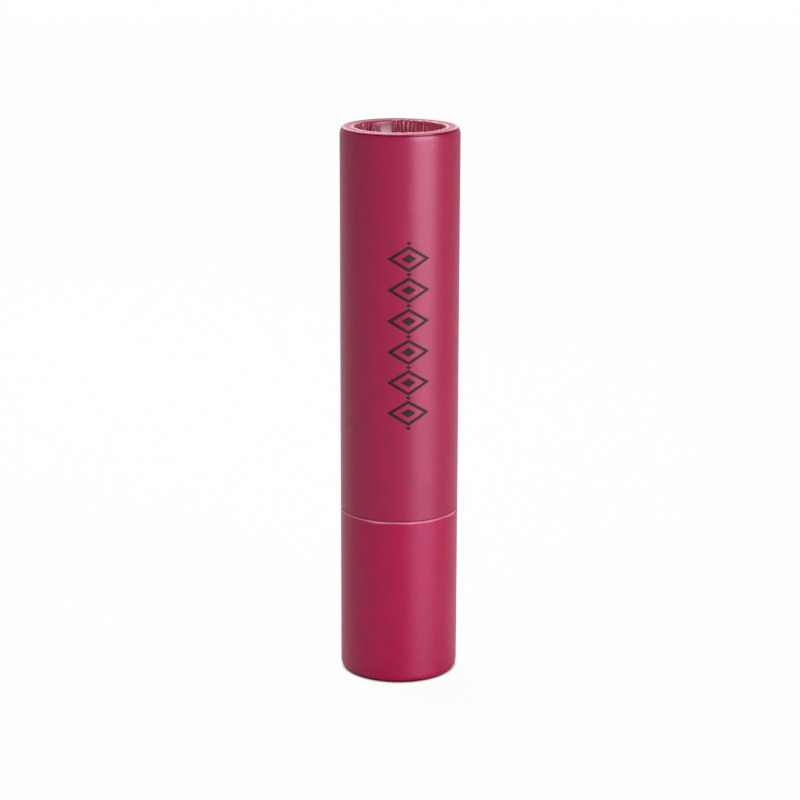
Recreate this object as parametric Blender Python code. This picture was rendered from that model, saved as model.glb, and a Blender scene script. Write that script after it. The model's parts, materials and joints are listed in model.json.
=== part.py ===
"""A twist-up lipstick in a rolled-edge paperboard tube.

The base is turned against the neck. Two lugs on the cup stand through upright slots in a sleeve that turns
with the base, and ride in two helical tracks in a cam that is glued into the neck, so the turn lifts the cup.
The cap pulls straight off the neck. Everything is in metres, +Z runs up the tube, and the origin is the middle
of the foot that the base stands on.
"""

import math

import bmesh
import bpy
from mathutils import Matrix, Vector

MM = 0.001
SEGMENTS = 48
FULL_TURN = 2 * math.pi

# Walls, from the middle of the tube outwards
BULLET_RADIUS = 5.8 * MM
CUP_WALL = 0.35 * MM
SLEEVE_WALL = 0.55 * MM
CAM_WALL = 1.05 * MM
NECK_WALL = 0.6 * MM
BOARD_WALL = 0.9 * MM
WRAP_THICKNESS = 0.2 * MM

# Clearances between neighbours
CAST_GAP = 0.05 * MM
RUNNING_GAP = 0.1 * MM
GLUE_GAP = 0.1 * MM
SLIDE_GAP = 0.15 * MM
SKIN_GAP = 0.05 * MM
FOLD_GAP = 0.1 * MM
SEAM_GAP = 0.25 * MM

# Outer tube: the base, the cap and the rolled edge that closes each
BASE_HEIGHT = 28.7 * MM
CAP_LENGTH = 65.25 * MM
ROLL_DEPTH = 3.4 * MM
ROLL_CORNER = 0.4 * MM
SHOULDER_RISE = 1.4 * MM
SHOULDER_DEPTH = 0.55 * MM
MOUTH_CORNER = 0.12 * MM
PLEAT_DEPTH = 0.1 * MM
PLEAT_EVERY = 2

# Drawn end disc, with the skirt that is glued to the tube
DISC_THICKNESS = 0.7 * MM
SKIRT_HEIGHT = 3.2 * MM
SKIRT_WALL = 0.6 * MM
SKIRT_CORNER = 0.3 * MM

# Moulded plug in the base, and the splined foot of the sleeve in its socket
NECK_ENTRY = 7.75 * MM
PLUG_FLOOR = 1.0 * MM
PLUG_HOLE_RADIUS = 3.0 * MM
PLUG_SOCKET_RADIUS = 7.25 * MM
CRUSH_RIB = 0.2 * MM
SPLINE_DEPTH = 0.2 * MM
SPLINE_EVERY = 4
FOOT_WALL = 1.2 * MM
FLANGE_HEIGHT = 0.8 * MM
SLEEVE_FLOOR = 1.0 * MM
BEAD_HEIGHT = 0.7 * MM
BEAD_GRIP = 0.4 * MM
BRAKE_RING_HEIGHT = 0.9 * MM
BRAKE_RING_WALL = 0.55 * MM

# Cup and bullet, and the tracks that lift them by the travel in a turn and a quarter
TRAVEL = 24.0 * MM
TWIST_STEPS = 60
CUP_DEPTH = 12.2 * MM
CUP_FLOOR = 0.8 * MM
CUP_REST_GAP = 0.4 * MM
CUP_SHY = 0.5 * MM
CUP_RIB = 0.3 * MM
CUP_RIB_HEIGHT = 6.0 * MM
CUP_RIB_LEAD = 0.8 * MM
CUP_RIB_EVERY = 12
CUP_LIP_CHAMFER = 0.15 * MM
BULLET_LENGTH = 34.0 * MM
BULLET_DOME = 3.4 * MM
SLANT_ANGLE = math.radians(50)
SLANT_OFFSET = 2.2 * MM
SLANT_BEVEL = 0.45 * MM
LUG_RADIUS = 0.85 * MM
LUG_RISE = 1.6 * MM
LUG_SIDES = 16
LUG_END_GAP = 0.2 * MM
TRACK_DEPTH = 0.6 * MM
TRACK_GAP = 0.15 * MM
NECK_LIP = 1.0 * MM
NECK_CORNER = 0.12 * MM

# How far a cutter runs past what it cuts, and how near two points count as one
OVERRUN = 0.3 * MM
WELD = 0.001 * MM

# Radii that follow from the walls and the clearances, and the tracks' climb
CUP_INNER = BULLET_RADIUS + CAST_GAP
CUP_OUTER = CUP_INNER + CUP_WALL
SLEEVE_INNER = CUP_OUTER + RUNNING_GAP
SLEEVE_OUTER = SLEEVE_INNER + SLEEVE_WALL
CAM_INNER = SLEEVE_OUTER + RUNNING_GAP
CAM_OUTER = CAM_INNER + CAM_WALL
TRACK_FLOOR = CAM_INNER + TRACK_DEPTH
NECK_INNER = CAM_OUTER + GLUE_GAP
NECK_OUTER = NECK_INNER + NECK_WALL
TUBE_INNER = NECK_OUTER + SLIDE_GAP
TUBE_OUTER = TUBE_INNER + BOARD_WALL
WRAP_INNER = TUBE_OUTER + SKIN_GAP
WRAP_OUTER = WRAP_INNER + WRAP_THICKNESS
LEG_OUTER = TUBE_INNER - FOLD_GAP
LEG_INNER = LEG_OUTER - BOARD_WALL
RECESS_RADIUS = LEG_INNER - SKIN_GAP - WRAP_THICKNESS
DISC_RADIUS = TUBE_INNER - GLUE_GAP
SKIRT_INNER = DISC_RADIUS - SKIRT_WALL
PLUG_OUTER = TUBE_INNER - GLUE_GAP - CRUSH_RIB
FOOT_RADIUS = PLUG_SOCKET_RADIUS - GLUE_GAP
FOOT_CORE_RADIUS = FOOT_RADIUS - FOOT_WALL
FLANGE_RADIUS = CAM_OUTER
TWIST = FULL_TURN * TWIST_STEPS / SEGMENTS
RISE_PER_ANGLE = TRAVEL / TWIST

# Heights above the foot of the base
DISC_FACE = ROLL_DEPTH + GLUE_GAP
PLUG_LOW = DISC_FACE + DISC_THICKNESS + GLUE_GAP
PLUG_STEP = DISC_FACE + SKIRT_HEIGHT + GLUE_GAP
NECK_LOW = BASE_HEIGHT - NECK_ENTRY
PLUG_TOP = NECK_LOW - SEAM_GAP
FOOT_LOW = PLUG_LOW + PLUG_FLOOR + GLUE_GAP
FLANGE_LOW = PLUG_TOP + GLUE_GAP
FLANGE_TOP = FLANGE_LOW + FLANGE_HEIGHT
SLEEVE_FLOOR_TOP = FLANGE_TOP + SLEEVE_FLOOR
CAM_LOW = FLANGE_TOP + RUNNING_GAP
CUP_LOW = SLEEVE_FLOOR_TOP + CUP_REST_GAP
SLEEVE_TOP = CUP_LOW + CUP_DEPTH + TRAVEL + CUP_SHY
BEAD_LOW = SLEEVE_TOP - BEAD_HEIGHT
CAM_TOP = BEAD_LOW - RUNNING_GAP
NECK_TOP = SLEEVE_TOP + NECK_LIP
CAP_MOUTH = BASE_HEIGHT + SEAM_GAP
CAP_TOP = CAP_MOUTH + CAP_LENGTH

# Colours as linear red, green and blue
MAGENTA = (0.36, 0.018, 0.075)
BOARD = (0.78, 0.73, 0.66)
NECK_PAPER = (0.80, 0.76, 0.70)
WHITE_PLASTIC = (0.82, 0.81, 0.78)
BLACK_RUBBER = (0.03, 0.03, 0.032)
BRICK_RED = (0.27, 0.033, 0.018)


def clear_scene():
    for obj in list(bpy.data.objects):
        bpy.data.objects.remove(obj, do_unlink=True)


def finish(name, colour, roughness, metallic=0.0):
    """A Principled material in one plain colour."""
    material = bpy.data.materials.new(name)
    material.use_nodes = True
    shader = material.node_tree.nodes["Principled BSDF"]
    shader.inputs["Base Color"].default_value = (*colour, 1.0)
    shader.inputs["Roughness"].default_value = roughness
    shader.inputs["Metallic"].default_value = metallic
    return material


def axis_empty(name, height):
    """An empty on the tube's axis, which carries the pieces of one moving body."""
    empty = bpy.data.objects.new(name, None)
    empty.empty_display_size = WRAP_OUTER
    empty.location.z = height
    bpy.context.collection.objects.link(empty)
    return empty


def new_object(name, bm, material=None, parent=None, height=0.0, upside_down=False):
    """Makes the mesh an object whose own zero stands at that height above the foot."""
    bmesh.ops.recalc_face_normals(bm, faces=bm.faces)
    mesh = bpy.data.meshes.new(name)
    bm.to_mesh(mesh)
    bm.free()
    obj = bpy.data.objects.new(name, mesh)
    bpy.context.collection.objects.link(obj)
    if material:
        mesh.materials.append(material)
        mesh.shade_smooth()
        mesh.set_sharp_from_angle(angle=math.radians(35))
    obj.parent = parent
    obj.location.z = height - (parent.location.z if parent else 0)
    if upside_down:
        obj.rotation_euler.x = math.pi
    return obj


def as_helper(obj):
    """A cutter or a shape to join, which is no piece of the lipstick itself."""
    obj.hide_render = True
    obj.display_type = "WIRE"
    return obj


def combine(obj, helper, operation):
    modifier = obj.modifiers.new(helper.name, "BOOLEAN")
    modifier.operation = operation
    modifier.solver = "EXACT"
    modifier.object = helper


def turned(outline):
    """A mesh spun round Z from (radius, height) points. An outline off the axis is closed on itself, and one
    that starts on the axis ends on it."""
    bm = bmesh.new()
    verts = [bm.verts.new((radius, 0, height)) for radius, height in outline]
    ends = verts[1:] if outline[0][0] == 0 else verts[1:] + verts[:1]
    edges = [bm.edges.new(pair) for pair in zip(verts, ends)]
    bmesh.ops.spin(bm, geom=verts + edges, cent=(0, 0, 0), axis=(0, 0, 1), angle=FULL_TURN, steps=SEGMENTS)
    bmesh.ops.remove_doubles(bm, verts=bm.verts, dist=WELD)
    return bm


def flute(bm, radius, lift, every, first=0, below=math.inf):
    """Moves the points at that radius in or out on every so many columns, which makes ribs, splines or pleats."""
    column_angle = FULL_TURN / SEGMENTS
    for vert in bm.verts:
        across = Vector((vert.co.x, vert.co.y))
        column = round(math.atan2(across.y, across.x) / column_angle)
        if abs(across.length - radius) > WELD or vert.co.z > below or (column - first) % every:
            continue
        across *= (radius + lift) / radius
        vert.co.x, vert.co.y = across


def arc(centre, across, up, start, end, steps):
    """Points on an ellipse in the outline's plane, with its half-axes and the angles in degrees."""
    turns = [math.radians(start + (end - start) * step / steps) for step in range(steps + 1)]
    return [(centre[0] + across * math.cos(turn), centre[1] + up * math.sin(turn)) for turn in turns]


def shoulder(length, inset, start, end):
    """The tall soft corner between the wall and the rolled edge, or one inside it by the inset."""
    centre = (WRAP_OUTER - SHOULDER_DEPTH, length - SHOULDER_RISE)
    return arc(centre, SHOULDER_DEPTH - inset, SHOULDER_RISE - inset, start, end, 4)


def rolled_wrap(length):
    """The printed paper: up the outside of the tube, over the rolled edge and down into the recess."""
    corner = ROLL_CORNER
    inside_corner = ROLL_CORNER - WRAP_THICKNESS
    inner_centre = (RECESS_RADIUS + corner, length - corner)
    leg_end = length - ROLL_DEPTH
    outline = [
        (WRAP_INNER, 0),
        (WRAP_OUTER - MOUTH_CORNER, 0),
        (WRAP_OUTER, MOUTH_CORNER),
        *shoulder(length, 0, 0, 90),
        *arc(inner_centre, corner, corner, 90, 180, 3),
        (RECESS_RADIUS, leg_end),
        (RECESS_RADIUS + WRAP_THICKNESS, leg_end),
        *arc(inner_centre, inside_corner, inside_corner, 180, 90, 2),
        *shoulder(length, WRAP_THICKNESS, 90, 0),
    ]
    bm = turned(outline)
    flute(bm, RECESS_RADIUS, PLEAT_DEPTH, PLEAT_EVERY)
    return bm


def rolled_board(length):
    """The paperboard tube, whose end is rolled inwards and pressed flat against its own wall."""
    crown = length - WRAP_THICKNESS - SKIN_GAP
    corner = ROLL_CORNER - WRAP_THICKNESS - SKIN_GAP
    leg_end = length - ROLL_DEPTH
    outline = [
        (TUBE_INNER, 0),
        (TUBE_OUTER, 0),
        *shoulder(length, WRAP_THICKNESS + SKIN_GAP, 0, 90),
        (LEG_INNER + corner, crown),
        (LEG_INNER, crown - corner),
        (LEG_INNER, leg_end),
        (LEG_OUTER, leg_end),
        (LEG_OUTER, crown - BOARD_WALL),
        (TUBE_INNER, crown - BOARD_WALL),
    ]
    return turned(outline)


def end_disc():
    """A drawn paper disc: the face that shows in the recess is at zero, and the skirt stands up from it."""
    outline = [
        (0, 0),
        (DISC_RADIUS - SKIRT_CORNER, 0),
        (DISC_RADIUS, SKIRT_CORNER),
        (DISC_RADIUS, SKIRT_HEIGHT),
        (SKIRT_INNER, SKIRT_HEIGHT),
        (SKIRT_INNER, DISC_THICKNESS),
        (0, DISC_THICKNESS),
    ]
    return turned(outline)


def base_plug():
    """The moulded plug that is pressed into the base by its crush ribs, with a splined socket for the sleeve."""
    floor_top = FOOT_LOW - GLUE_GAP
    spigot = SKIRT_INNER - GLUE_GAP
    outline = [
        (PLUG_HOLE_RADIUS, PLUG_LOW),
        (spigot, PLUG_LOW),
        (spigot, PLUG_STEP),
        (PLUG_OUTER, PLUG_STEP),
        (PLUG_OUTER, PLUG_TOP),
        (PLUG_SOCKET_RADIUS, PLUG_TOP),
        (PLUG_SOCKET_RADIUS, floor_top),
        (PLUG_HOLE_RADIUS, floor_top),
    ]
    bm = turned(outline)
    flute(bm, PLUG_OUTER, CRUSH_RIB, SPLINE_EVERY)
    flute(bm, PLUG_SOCKET_RADIUS, SPLINE_DEPTH, SPLINE_EVERY, SPLINE_EVERY // 2)
    return bm


def sleeve_body():
    """The slotted sleeve before its slots are cut: splined foot, flange, thin wall and snap bead."""
    outline = [
        (0, FLANGE_LOW),
        (FOOT_CORE_RADIUS, FLANGE_LOW),
        (FOOT_CORE_RADIUS, FOOT_LOW),
        (FOOT_RADIUS, FOOT_LOW),
        (FOOT_RADIUS, FLANGE_LOW),
        (FLANGE_RADIUS, FLANGE_LOW),
        (FLANGE_RADIUS, FLANGE_TOP),
        (SLEEVE_OUTER, FLANGE_TOP),
        (SLEEVE_OUTER, BEAD_LOW),
        (CAM_INNER + BEAD_GRIP, BEAD_LOW),
        (CAM_INNER + BEAD_GRIP, BEAD_LOW + BEAD_HEIGHT / 3),
        (SLEEVE_OUTER, SLEEVE_TOP),
        (SLEEVE_INNER, SLEEVE_TOP),
        (SLEEVE_INNER, SLEEVE_FLOOR_TOP),
        (0, SLEEVE_FLOOR_TOP),
    ]
    bm = turned(outline)
    flute(bm, FOOT_RADIUS, SPLINE_DEPTH, SPLINE_EVERY, SPLINE_EVERY // 2)
    return bm


def slot_cutter():
    """One long box through both walls of the sleeve, as tall as the lugs' travel."""
    half_width = LUG_RADIUS + TRACK_GAP
    low = CUP_LOW + LUG_RISE - half_width
    high = CUP_LOW + LUG_RISE + TRAVEL + half_width
    reach = SLEEVE_OUTER + OVERRUN
    bm = bmesh.new()
    size = Matrix.Diagonal((2 * reach, 2 * half_width, high - low, 1))
    place = Matrix.Translation((0, 0, (low + high) / 2))
    bmesh.ops.create_cube(bm, size=1, matrix=place @ size)
    return bm


def track_slope():
    """How steeply a track climbs at the cam's bore."""
    return math.atan(RISE_PER_ANGLE / CAM_INNER)


def helical_bar(start_angle):
    """A bar of the track's section that climbs the lugs' travel over the twist, and runs on by a lug's width."""
    half_width = (LUG_RADIUS + TRACK_GAP) / math.cos(track_slope())
    low = CUP_LOW + LUG_RISE
    run_on = (LUG_RADIUS + TRACK_GAP) / CAM_INNER
    corners = [
        (CAM_INNER - OVERRUN, -half_width),
        (TRACK_FLOOR, -half_width),
        (TRACK_FLOOR, half_width),
        (CAM_INNER - OVERRUN, half_width),
    ]
    bm = bmesh.new()
    first_height = low - run_on * RISE_PER_ANGLE
    section = bm.faces.new([bm.verts.new((radius, 0, first_height + height)) for radius, height in corners])
    turn = Matrix.Rotation(start_angle - run_on, 4, "Z")
    bmesh.ops.transform(bm, matrix=turn, verts=bm.verts)
    geometry = [section, *section.edges, *section.verts]
    for angle, steps in ((run_on, 1), (TWIST, TWIST_STEPS), (run_on, 1)):
        climb = Vector((0, 0, angle * RISE_PER_ANGLE / steps))
        made = bmesh.ops.spin(
            bm, geom=geometry, cent=(0, 0, 0), axis=(0, 0, 1), dvec=climb, angle=angle, steps=steps
        )
        geometry = made["geom_last"]
    return bm


def cam_body():
    """The cam before its tracks are cut, with a seat for the brake ring at its lower end."""
    seat_radius = SLEEVE_OUTER + CAST_GAP + BRAKE_RING_WALL + RUNNING_GAP
    seat_top = CAM_LOW + BRAKE_RING_HEIGHT + RUNNING_GAP
    outline = [
        (seat_radius, CAM_LOW),
        (CAM_OUTER, CAM_LOW),
        (CAM_OUTER, CAM_TOP),
        (CAM_INNER, CAM_TOP),
        (CAM_INNER, seat_top),
        (seat_radius, seat_top),
    ]
    return turned(outline)


def brake_ring():
    """The rubber ring that gives the turn its drag, on the flange and round the sleeve."""
    inner = SLEEVE_OUTER + CAST_GAP
    outer = inner + BRAKE_RING_WALL
    low = FLANGE_TOP + CAST_GAP
    middle = (inner + outer) / 2
    half = BRAKE_RING_HEIGHT / 2
    outline = [
        (inner, low + half),
        (middle, low),
        (outer, low + half),
        (middle, low + BRAKE_RING_HEIGHT),
    ]
    return turned(outline)


def neck_tube():
    outline = [
        (NECK_INNER, NECK_LOW),
        (NECK_OUTER, NECK_LOW),
        (NECK_OUTER, NECK_TOP - NECK_CORNER),
        (NECK_OUTER - NECK_CORNER, NECK_TOP),
        (NECK_INNER, NECK_TOP),
    ]
    return turned(outline)


def cup_body():
    """The cup that holds the bullet, with ribs that bite into it."""
    floor = CUP_LOW + CUP_FLOOR
    rib_top = floor + CUP_RIB_HEIGHT
    top = CUP_LOW + CUP_DEPTH
    outline = [
        (0, CUP_LOW),
        (CUP_OUTER, CUP_LOW),
        (CUP_OUTER, top),
        (CUP_INNER + CUP_LIP_CHAMFER, top),
        (CUP_INNER, top - CUP_LIP_CHAMFER),
        (CUP_INNER, rib_top + CUP_RIB_LEAD),
        (CUP_INNER, rib_top),
        (CUP_INNER, floor),
        (0, floor),
    ]
    bm = turned(outline)
    flute(bm, CUP_INNER, -CUP_RIB, CUP_RIB_EVERY, CUP_RIB_EVERY // 2, rib_top + WELD)
    return bm


def lug_pair():
    """Two short round lugs, from inside the cup's wall to just short of the track's floor."""
    root = CUP_INNER + CUP_WALL / 2
    reach = TRACK_FLOOR - LUG_END_GAP
    bm = bmesh.new()
    for side in (-1, 1):
        place = Matrix.Translation((side * (root + reach) / 2, 0, CUP_LOW + LUG_RISE))
        bmesh.ops.create_cone(
            bm,
            cap_ends=True,
            segments=LUG_SIDES,
            radius1=LUG_RADIUS,
            radius2=LUG_RADIUS,
            depth=reach - root,
            matrix=place @ Matrix.Rotation(math.pi / 2, 4, "Y"),
        )
    return bm


def bullet():
    """The pomade stick: a domed cylinder, sliced to the slanted face and eased round the slice."""
    low = CUP_LOW + CUP_FLOOR + CAST_GAP
    rib_top = CUP_LOW + CUP_FLOOR + CUP_RIB_HEIGHT + CUP_RIB_LEAD
    top = low + BULLET_LENGTH
    shoulder = top - BULLET_DOME
    dome_shares = (0.35, 0.65, 0.87)
    dome = [
        (BULLET_RADIUS * math.sqrt(1 - share**2), shoulder + BULLET_DOME * share) for share in dome_shares
    ]
    outline = [
        (0, low),
        (BULLET_RADIUS, low),
        (BULLET_RADIUS, rib_top),
        (BULLET_RADIUS, rib_top + CUP_RIB_LEAD),
        (BULLET_RADIUS, shoulder),
        *dome,
        (0, top),
    ]
    bm = turned(outline)
    flute(bm, BULLET_RADIUS, -CUP_RIB, CUP_RIB_EVERY, CUP_RIB_EVERY // 2, rib_top + WELD)
    cut = bmesh.ops.bisect_plane(
        bm,
        geom=[*bm.verts, *bm.edges, *bm.faces],
        dist=WELD,
        plane_co=(0, SLANT_OFFSET, top),
        plane_no=(0, -math.sin(SLANT_ANGLE), math.cos(SLANT_ANGLE)),
        clear_outer=True,
    )
    rim = [item for item in cut["geom_cut"] if isinstance(item, bmesh.types.BMEdge)]
    bmesh.ops.contextual_create(bm, geom=rim)
    bmesh.ops.bevel(bm, geom=rim, offset=SLANT_BEVEL, segments=2, profile=0.5, affect="EDGES")
    return bm


def build_cap(material, board):
    axis = axis_empty("cap_pull_axis", CAP_MOUTH)
    new_object("cap_wrap", rolled_wrap(CAP_LENGTH), material, axis, CAP_MOUTH)
    new_object("cap_tube", rolled_board(CAP_LENGTH), board, axis, CAP_MOUTH)
    new_object("cap_end_disc", end_disc(), material, axis, CAP_TOP - DISC_FACE, upside_down=True)


def build_base(material, board, plastic, rubber):
    axis = axis_empty("base_axis", 0)
    new_object("base_wrap", rolled_wrap(BASE_HEIGHT), material, axis, BASE_HEIGHT, upside_down=True)
    new_object("base_tube", rolled_board(BASE_HEIGHT), board, axis, BASE_HEIGHT, upside_down=True)
    new_object("base_end_disc", end_disc(), material, axis, DISC_FACE)
    new_object("base_plug", base_plug(), plastic, axis)
    sleeve = new_object("slotted_sleeve", sleeve_body(), plastic, axis)
    combine(sleeve, as_helper(new_object("slot_cutter", slot_cutter())), "DIFFERENCE")
    new_object("brake_ring", brake_ring(), rubber, axis)


def build_neck(paper, plastic):
    axis = axis_empty("neck_twist_axis", NECK_LOW)
    new_object("neck_tube", neck_tube(), paper, axis)
    cam = new_object("cam_sleeve", cam_body(), plastic, axis)
    for number, start_angle in enumerate((0, math.pi)):
        track = as_helper(new_object(f"track_cutter_{number}", helical_bar(start_angle)))
        combine(cam, track, "DIFFERENCE")


def build_cup(plastic, pomade):
    axis = axis_empty("cup_rise_axis", CUP_LOW)
    cup = new_object("bullet_cup", cup_body(), plastic, axis)
    combine(cup, as_helper(new_object("lug_pair", lug_pair())), "UNION")
    new_object("lipstick_bullet", bullet(), pomade, axis)


def main():
    clear_scene()
    printed_paper = finish("printed_paper", MAGENTA, 0.42)
    board = finish("paperboard", BOARD, 0.9)
    neck_paper = finish("neck_paper", NECK_PAPER, 0.75)
    plastic = finish("white_plastic", WHITE_PLASTIC, 0.35)
    rubber = finish("brake_rubber", BLACK_RUBBER, 0.6)
    pomade = finish("pomade", BRICK_RED, 0.38)
    build_base(printed_paper, board, plastic, rubber)
    build_neck(neck_paper, plastic)
    build_cup(plastic, pomade)
    build_cap(printed_paper, board)
    print(f"closed height {CAP_TOP / MM:.2f} mm, diameter {2 * WRAP_OUTER / MM:.2f} mm")


main()
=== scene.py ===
# %% [markdown]
# A twist-up lipstick in a rolled-edge paper tube.
#
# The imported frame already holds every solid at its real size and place: tubes, discs, neck, mechanism,
# cup and bullet. Those solids are faceted, because they carry collision and joints. This lesson dresses
# them. Each piece that shows is modelled again with a finer surface at exactly the same place, and rides
# on the same body, so it follows the joints. Three inner pieces that hardly show keep their solids and
# only get a finish.

# %% Load the frame and the tools
import json
import math
from types import SimpleNamespace

import bpy
import numpy as np
from mathutils import Matrix, Vector


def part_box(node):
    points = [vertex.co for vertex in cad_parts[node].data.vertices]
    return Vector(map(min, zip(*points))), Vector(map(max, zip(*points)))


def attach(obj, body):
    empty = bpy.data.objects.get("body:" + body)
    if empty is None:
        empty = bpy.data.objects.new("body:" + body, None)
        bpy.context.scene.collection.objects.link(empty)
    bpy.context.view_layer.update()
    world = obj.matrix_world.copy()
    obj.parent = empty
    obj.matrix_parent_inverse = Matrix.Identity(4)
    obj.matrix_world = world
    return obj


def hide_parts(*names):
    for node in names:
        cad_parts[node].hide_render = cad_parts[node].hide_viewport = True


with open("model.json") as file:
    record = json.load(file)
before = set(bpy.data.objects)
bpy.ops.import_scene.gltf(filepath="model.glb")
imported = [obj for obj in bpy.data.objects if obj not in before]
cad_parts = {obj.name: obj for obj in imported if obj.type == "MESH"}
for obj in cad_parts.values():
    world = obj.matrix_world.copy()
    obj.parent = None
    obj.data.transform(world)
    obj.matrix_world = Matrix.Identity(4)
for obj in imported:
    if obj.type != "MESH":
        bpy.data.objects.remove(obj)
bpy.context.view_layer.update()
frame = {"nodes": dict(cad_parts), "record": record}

# %% [markdown]
# Blender works in metres here, and a lipstick is small, so sizes are written in millimetres times MM. The
# sizes of the solids are measured on the frame and not typed again. Everything is turned round one axis,
# so two questions are enough: how high do a node's points reach, and how far are they from the axis? Both
# can be asked of a band of the node, such as the points near its mouth.

# %% Measure the solids
MM = 0.001
HAIR = 0.02 * MM
FULL_TURN = 2 * math.pi


def points_of(node):
    mesh = frame["nodes"][node].data
    flat = np.empty(len(mesh.vertices) * 3)
    mesh.vertices.foreach_get("co", flat)
    return flat.reshape(-1, 3)


def band(node, outside=0.0, inside=math.inf, above=-math.inf, below=math.inf):
    """A node's points between two distances from the axis and two heights, as distances and heights."""
    points = points_of(node)
    across, height = np.hypot(points[:, 0], points[:, 1]), points[:, 2]
    near = (across > outside - HAIR) & (across < inside + HAIR)
    level = (height > above - HAIR) & (height < below + HAIR)
    return across[near & level], height[near & level]


def heights(node, **limits):
    height = band(node, **limits)[1]
    return float(height.min()), float(height.max())


def radii(node, **limits):
    across = band(node, **limits)[0]
    return float(across.min()), float(across.max())


FOOT, BASE_TOP = heights("base_wrap")
MOUTH, CAP_TOP = heights("cap_wrap")
WRAP_RADIUS = radii("cap_wrap")[1]
tall, across = (CAP_TOP - FOOT) / MM, 2 * WRAP_RADIUS / MM
print(f"tube {across:.1f} mm across, {tall:.1f} mm tall, seam at {BASE_TOP / MM:.1f} mm")

# %% [markdown]
# The camera. Its place comes from the photograph's perspective: the tube narrows a little towards the
# foot, and the curve of the seam is deeper than the ring at the top. Only one pitch, distance and focal
# length give both.

# %% Place the camera
PICTURE_WIDTH = 800
SENSOR_WIDTH = 36
EYE = Vector((0, -378.9, 146.7)) * MM
PITCH = math.radians(14.675)
YAW = math.radians(0.0175)
ROLL = math.radians(0.17)
FOCAL_PIXELS = 2304.0

camera_data = bpy.data.cameras.new("camera")
camera_data.sensor_width = SENSOR_WIDTH
camera_data.lens = SENSOR_WIDTH * FOCAL_PIXELS / PICTURE_WIDTH
camera_data.clip_start = 10 * MM
camera = bpy.data.objects.new("camera", camera_data)
bpy.context.scene.collection.objects.link(camera)
lifted = Matrix.Rotation(math.pi / 2 - PITCH, 4, "X")
aim = Matrix.Rotation(-YAW, 4, "Z") @ lifted @ Matrix.Rotation(ROLL, 4, "Z")
camera.matrix_world = Matrix.Translation(EYE) @ aim
bpy.context.scene.camera = camera
print(f"lens {camera_data.lens:.1f} mm")

# %% [markdown]
# Almost every piece of a lipstick is turned: the same outline all the way round. By hand, that is a
# circle whose edge is extruded, moved and scaled again and again, one ring for each point of the outline.
# The helper below does just that. It could also be a Screw modifier, but drawing ring by ring keeps the
# columns in order, so a later cell can find the column at any angle. A wall that comes back to its start
# is bridged, and an outline that reaches the axis is merged to one point there.

# %% Turn an outline into a mesh
def select_only(piece):
    bpy.ops.object.select_all(action="DESELECT")
    bpy.context.view_layer.objects.active = piece
    piece.select_set(True)


def close_at_axis():
    """Draws the selected ring together to one point."""
    bpy.ops.mesh.extrude_region_move()
    bpy.ops.mesh.merge(type="CENTER")


def turned(name, outline, around, ends="bridge"):
    """A mesh through (radius, height) points, so many columns around. Ends: "bridge", "poles" or "open"."""
    bpy.ops.object.select_all(action="DESELECT")
    bpy.ops.mesh.primitive_circle_add(vertices=around, radius=outline[0][0], location=(0, 0, 0))
    piece = bpy.context.object
    piece.name = piece.data.name = name
    bpy.ops.object.mode_set(mode="EDIT")
    bpy.ops.mesh.select_all(action="SELECT")
    bpy.ops.transform.translate(value=(0, 0, outline[0][1]))
    if ends == "poles":
        close_at_axis()
        bpy.ops.mesh.select_all(action="DESELECT")
        bpy.ops.mesh.select_non_manifold(extend=False)
    for (radius, height), (next_radius, next_height) in zip(outline, outline[1:]):
        bpy.ops.mesh.extrude_region_move(TRANSFORM_OT_translate={"value": (0, 0, next_height - height)})
        growth = next_radius / radius
        bpy.ops.transform.resize(value=(growth, growth, 1), center_override=(0, 0, 0))
    if ends == "poles":
        close_at_axis()
    if ends == "bridge":
        bpy.ops.mesh.select_all(action="DESELECT")
        bpy.ops.mesh.select_non_manifold(extend=False)
        bpy.ops.mesh.bridge_edge_loops()
    bpy.ops.mesh.select_all(action="SELECT")
    bpy.ops.mesh.normals_make_consistent(inside=False)
    bpy.ops.object.mode_set(mode="OBJECT")
    return piece


# %% [markdown]
# Outlines are drawn with three small tools: an arc, a straight wall with evenly spaced rings, and a
# helper that eases every corner of a polygon, because nothing that is moulded or rolled has a knife-sharp
# edge.

# %% Draw outlines
LONGEST_EASE = 0.49


def arc(centre, across, up, start, end, steps):
    """Points of a round or oval corner, with its half-axes and its angles in degrees."""
    turns = [math.radians(start + (end - start) * step / steps) for step in range(steps + 1)]
    return [(centre[0] + across * math.cos(turn), centre[1] + up * math.sin(turn)) for turn in turns]


def climb(radius, low, high, steps):
    return [(radius, low + (high - low) * step / steps) for step in range(steps + 1)]


def eased(corners, size, steps=3):
    """The same open polygon with round corners, which take less than half of each edge. Its ends stay."""
    points = [corners[0]]
    for last, corner, following in zip(corners, corners[1:], corners[2:]):
        here = Vector(corner)
        before, after = Vector(last) - here, Vector(following) - here
        reach = min(size, LONGEST_EASE * before.length, LONGEST_EASE * after.length)
        start, end = here + before.normalized() * reach, here + after.normalized() * reach
        for step in range(steps + 1):
            share = step / steps
            points.append(tuple(start.lerp(here, share).lerp(here.lerp(end, share), share)))
    return [*points, corners[-1]]


# %% [markdown]
# Modifiers are added and applied at once, so each piece is finished mesh. Some movements are too small
# and uneven for a lathe. For those, the next helpers move points as sculpting would: read all points,
# shift them along their own radius, and write them back. A slow ripple keeps the long highlight from
# being ruler-straight. It is a sum of four waves, each with its share, its crests round the tube, its
# climb and its start.

# %% Apply modifiers and move points
RIPPLE = 0.008 * MM
RIPPLE_WAVES = ((1.0, 2, 46, 0.8), (0.6, 3, -95, 2.1), (0.35, 5, 210, 4.0), (0.25, 9, -330, 1.3))


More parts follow.
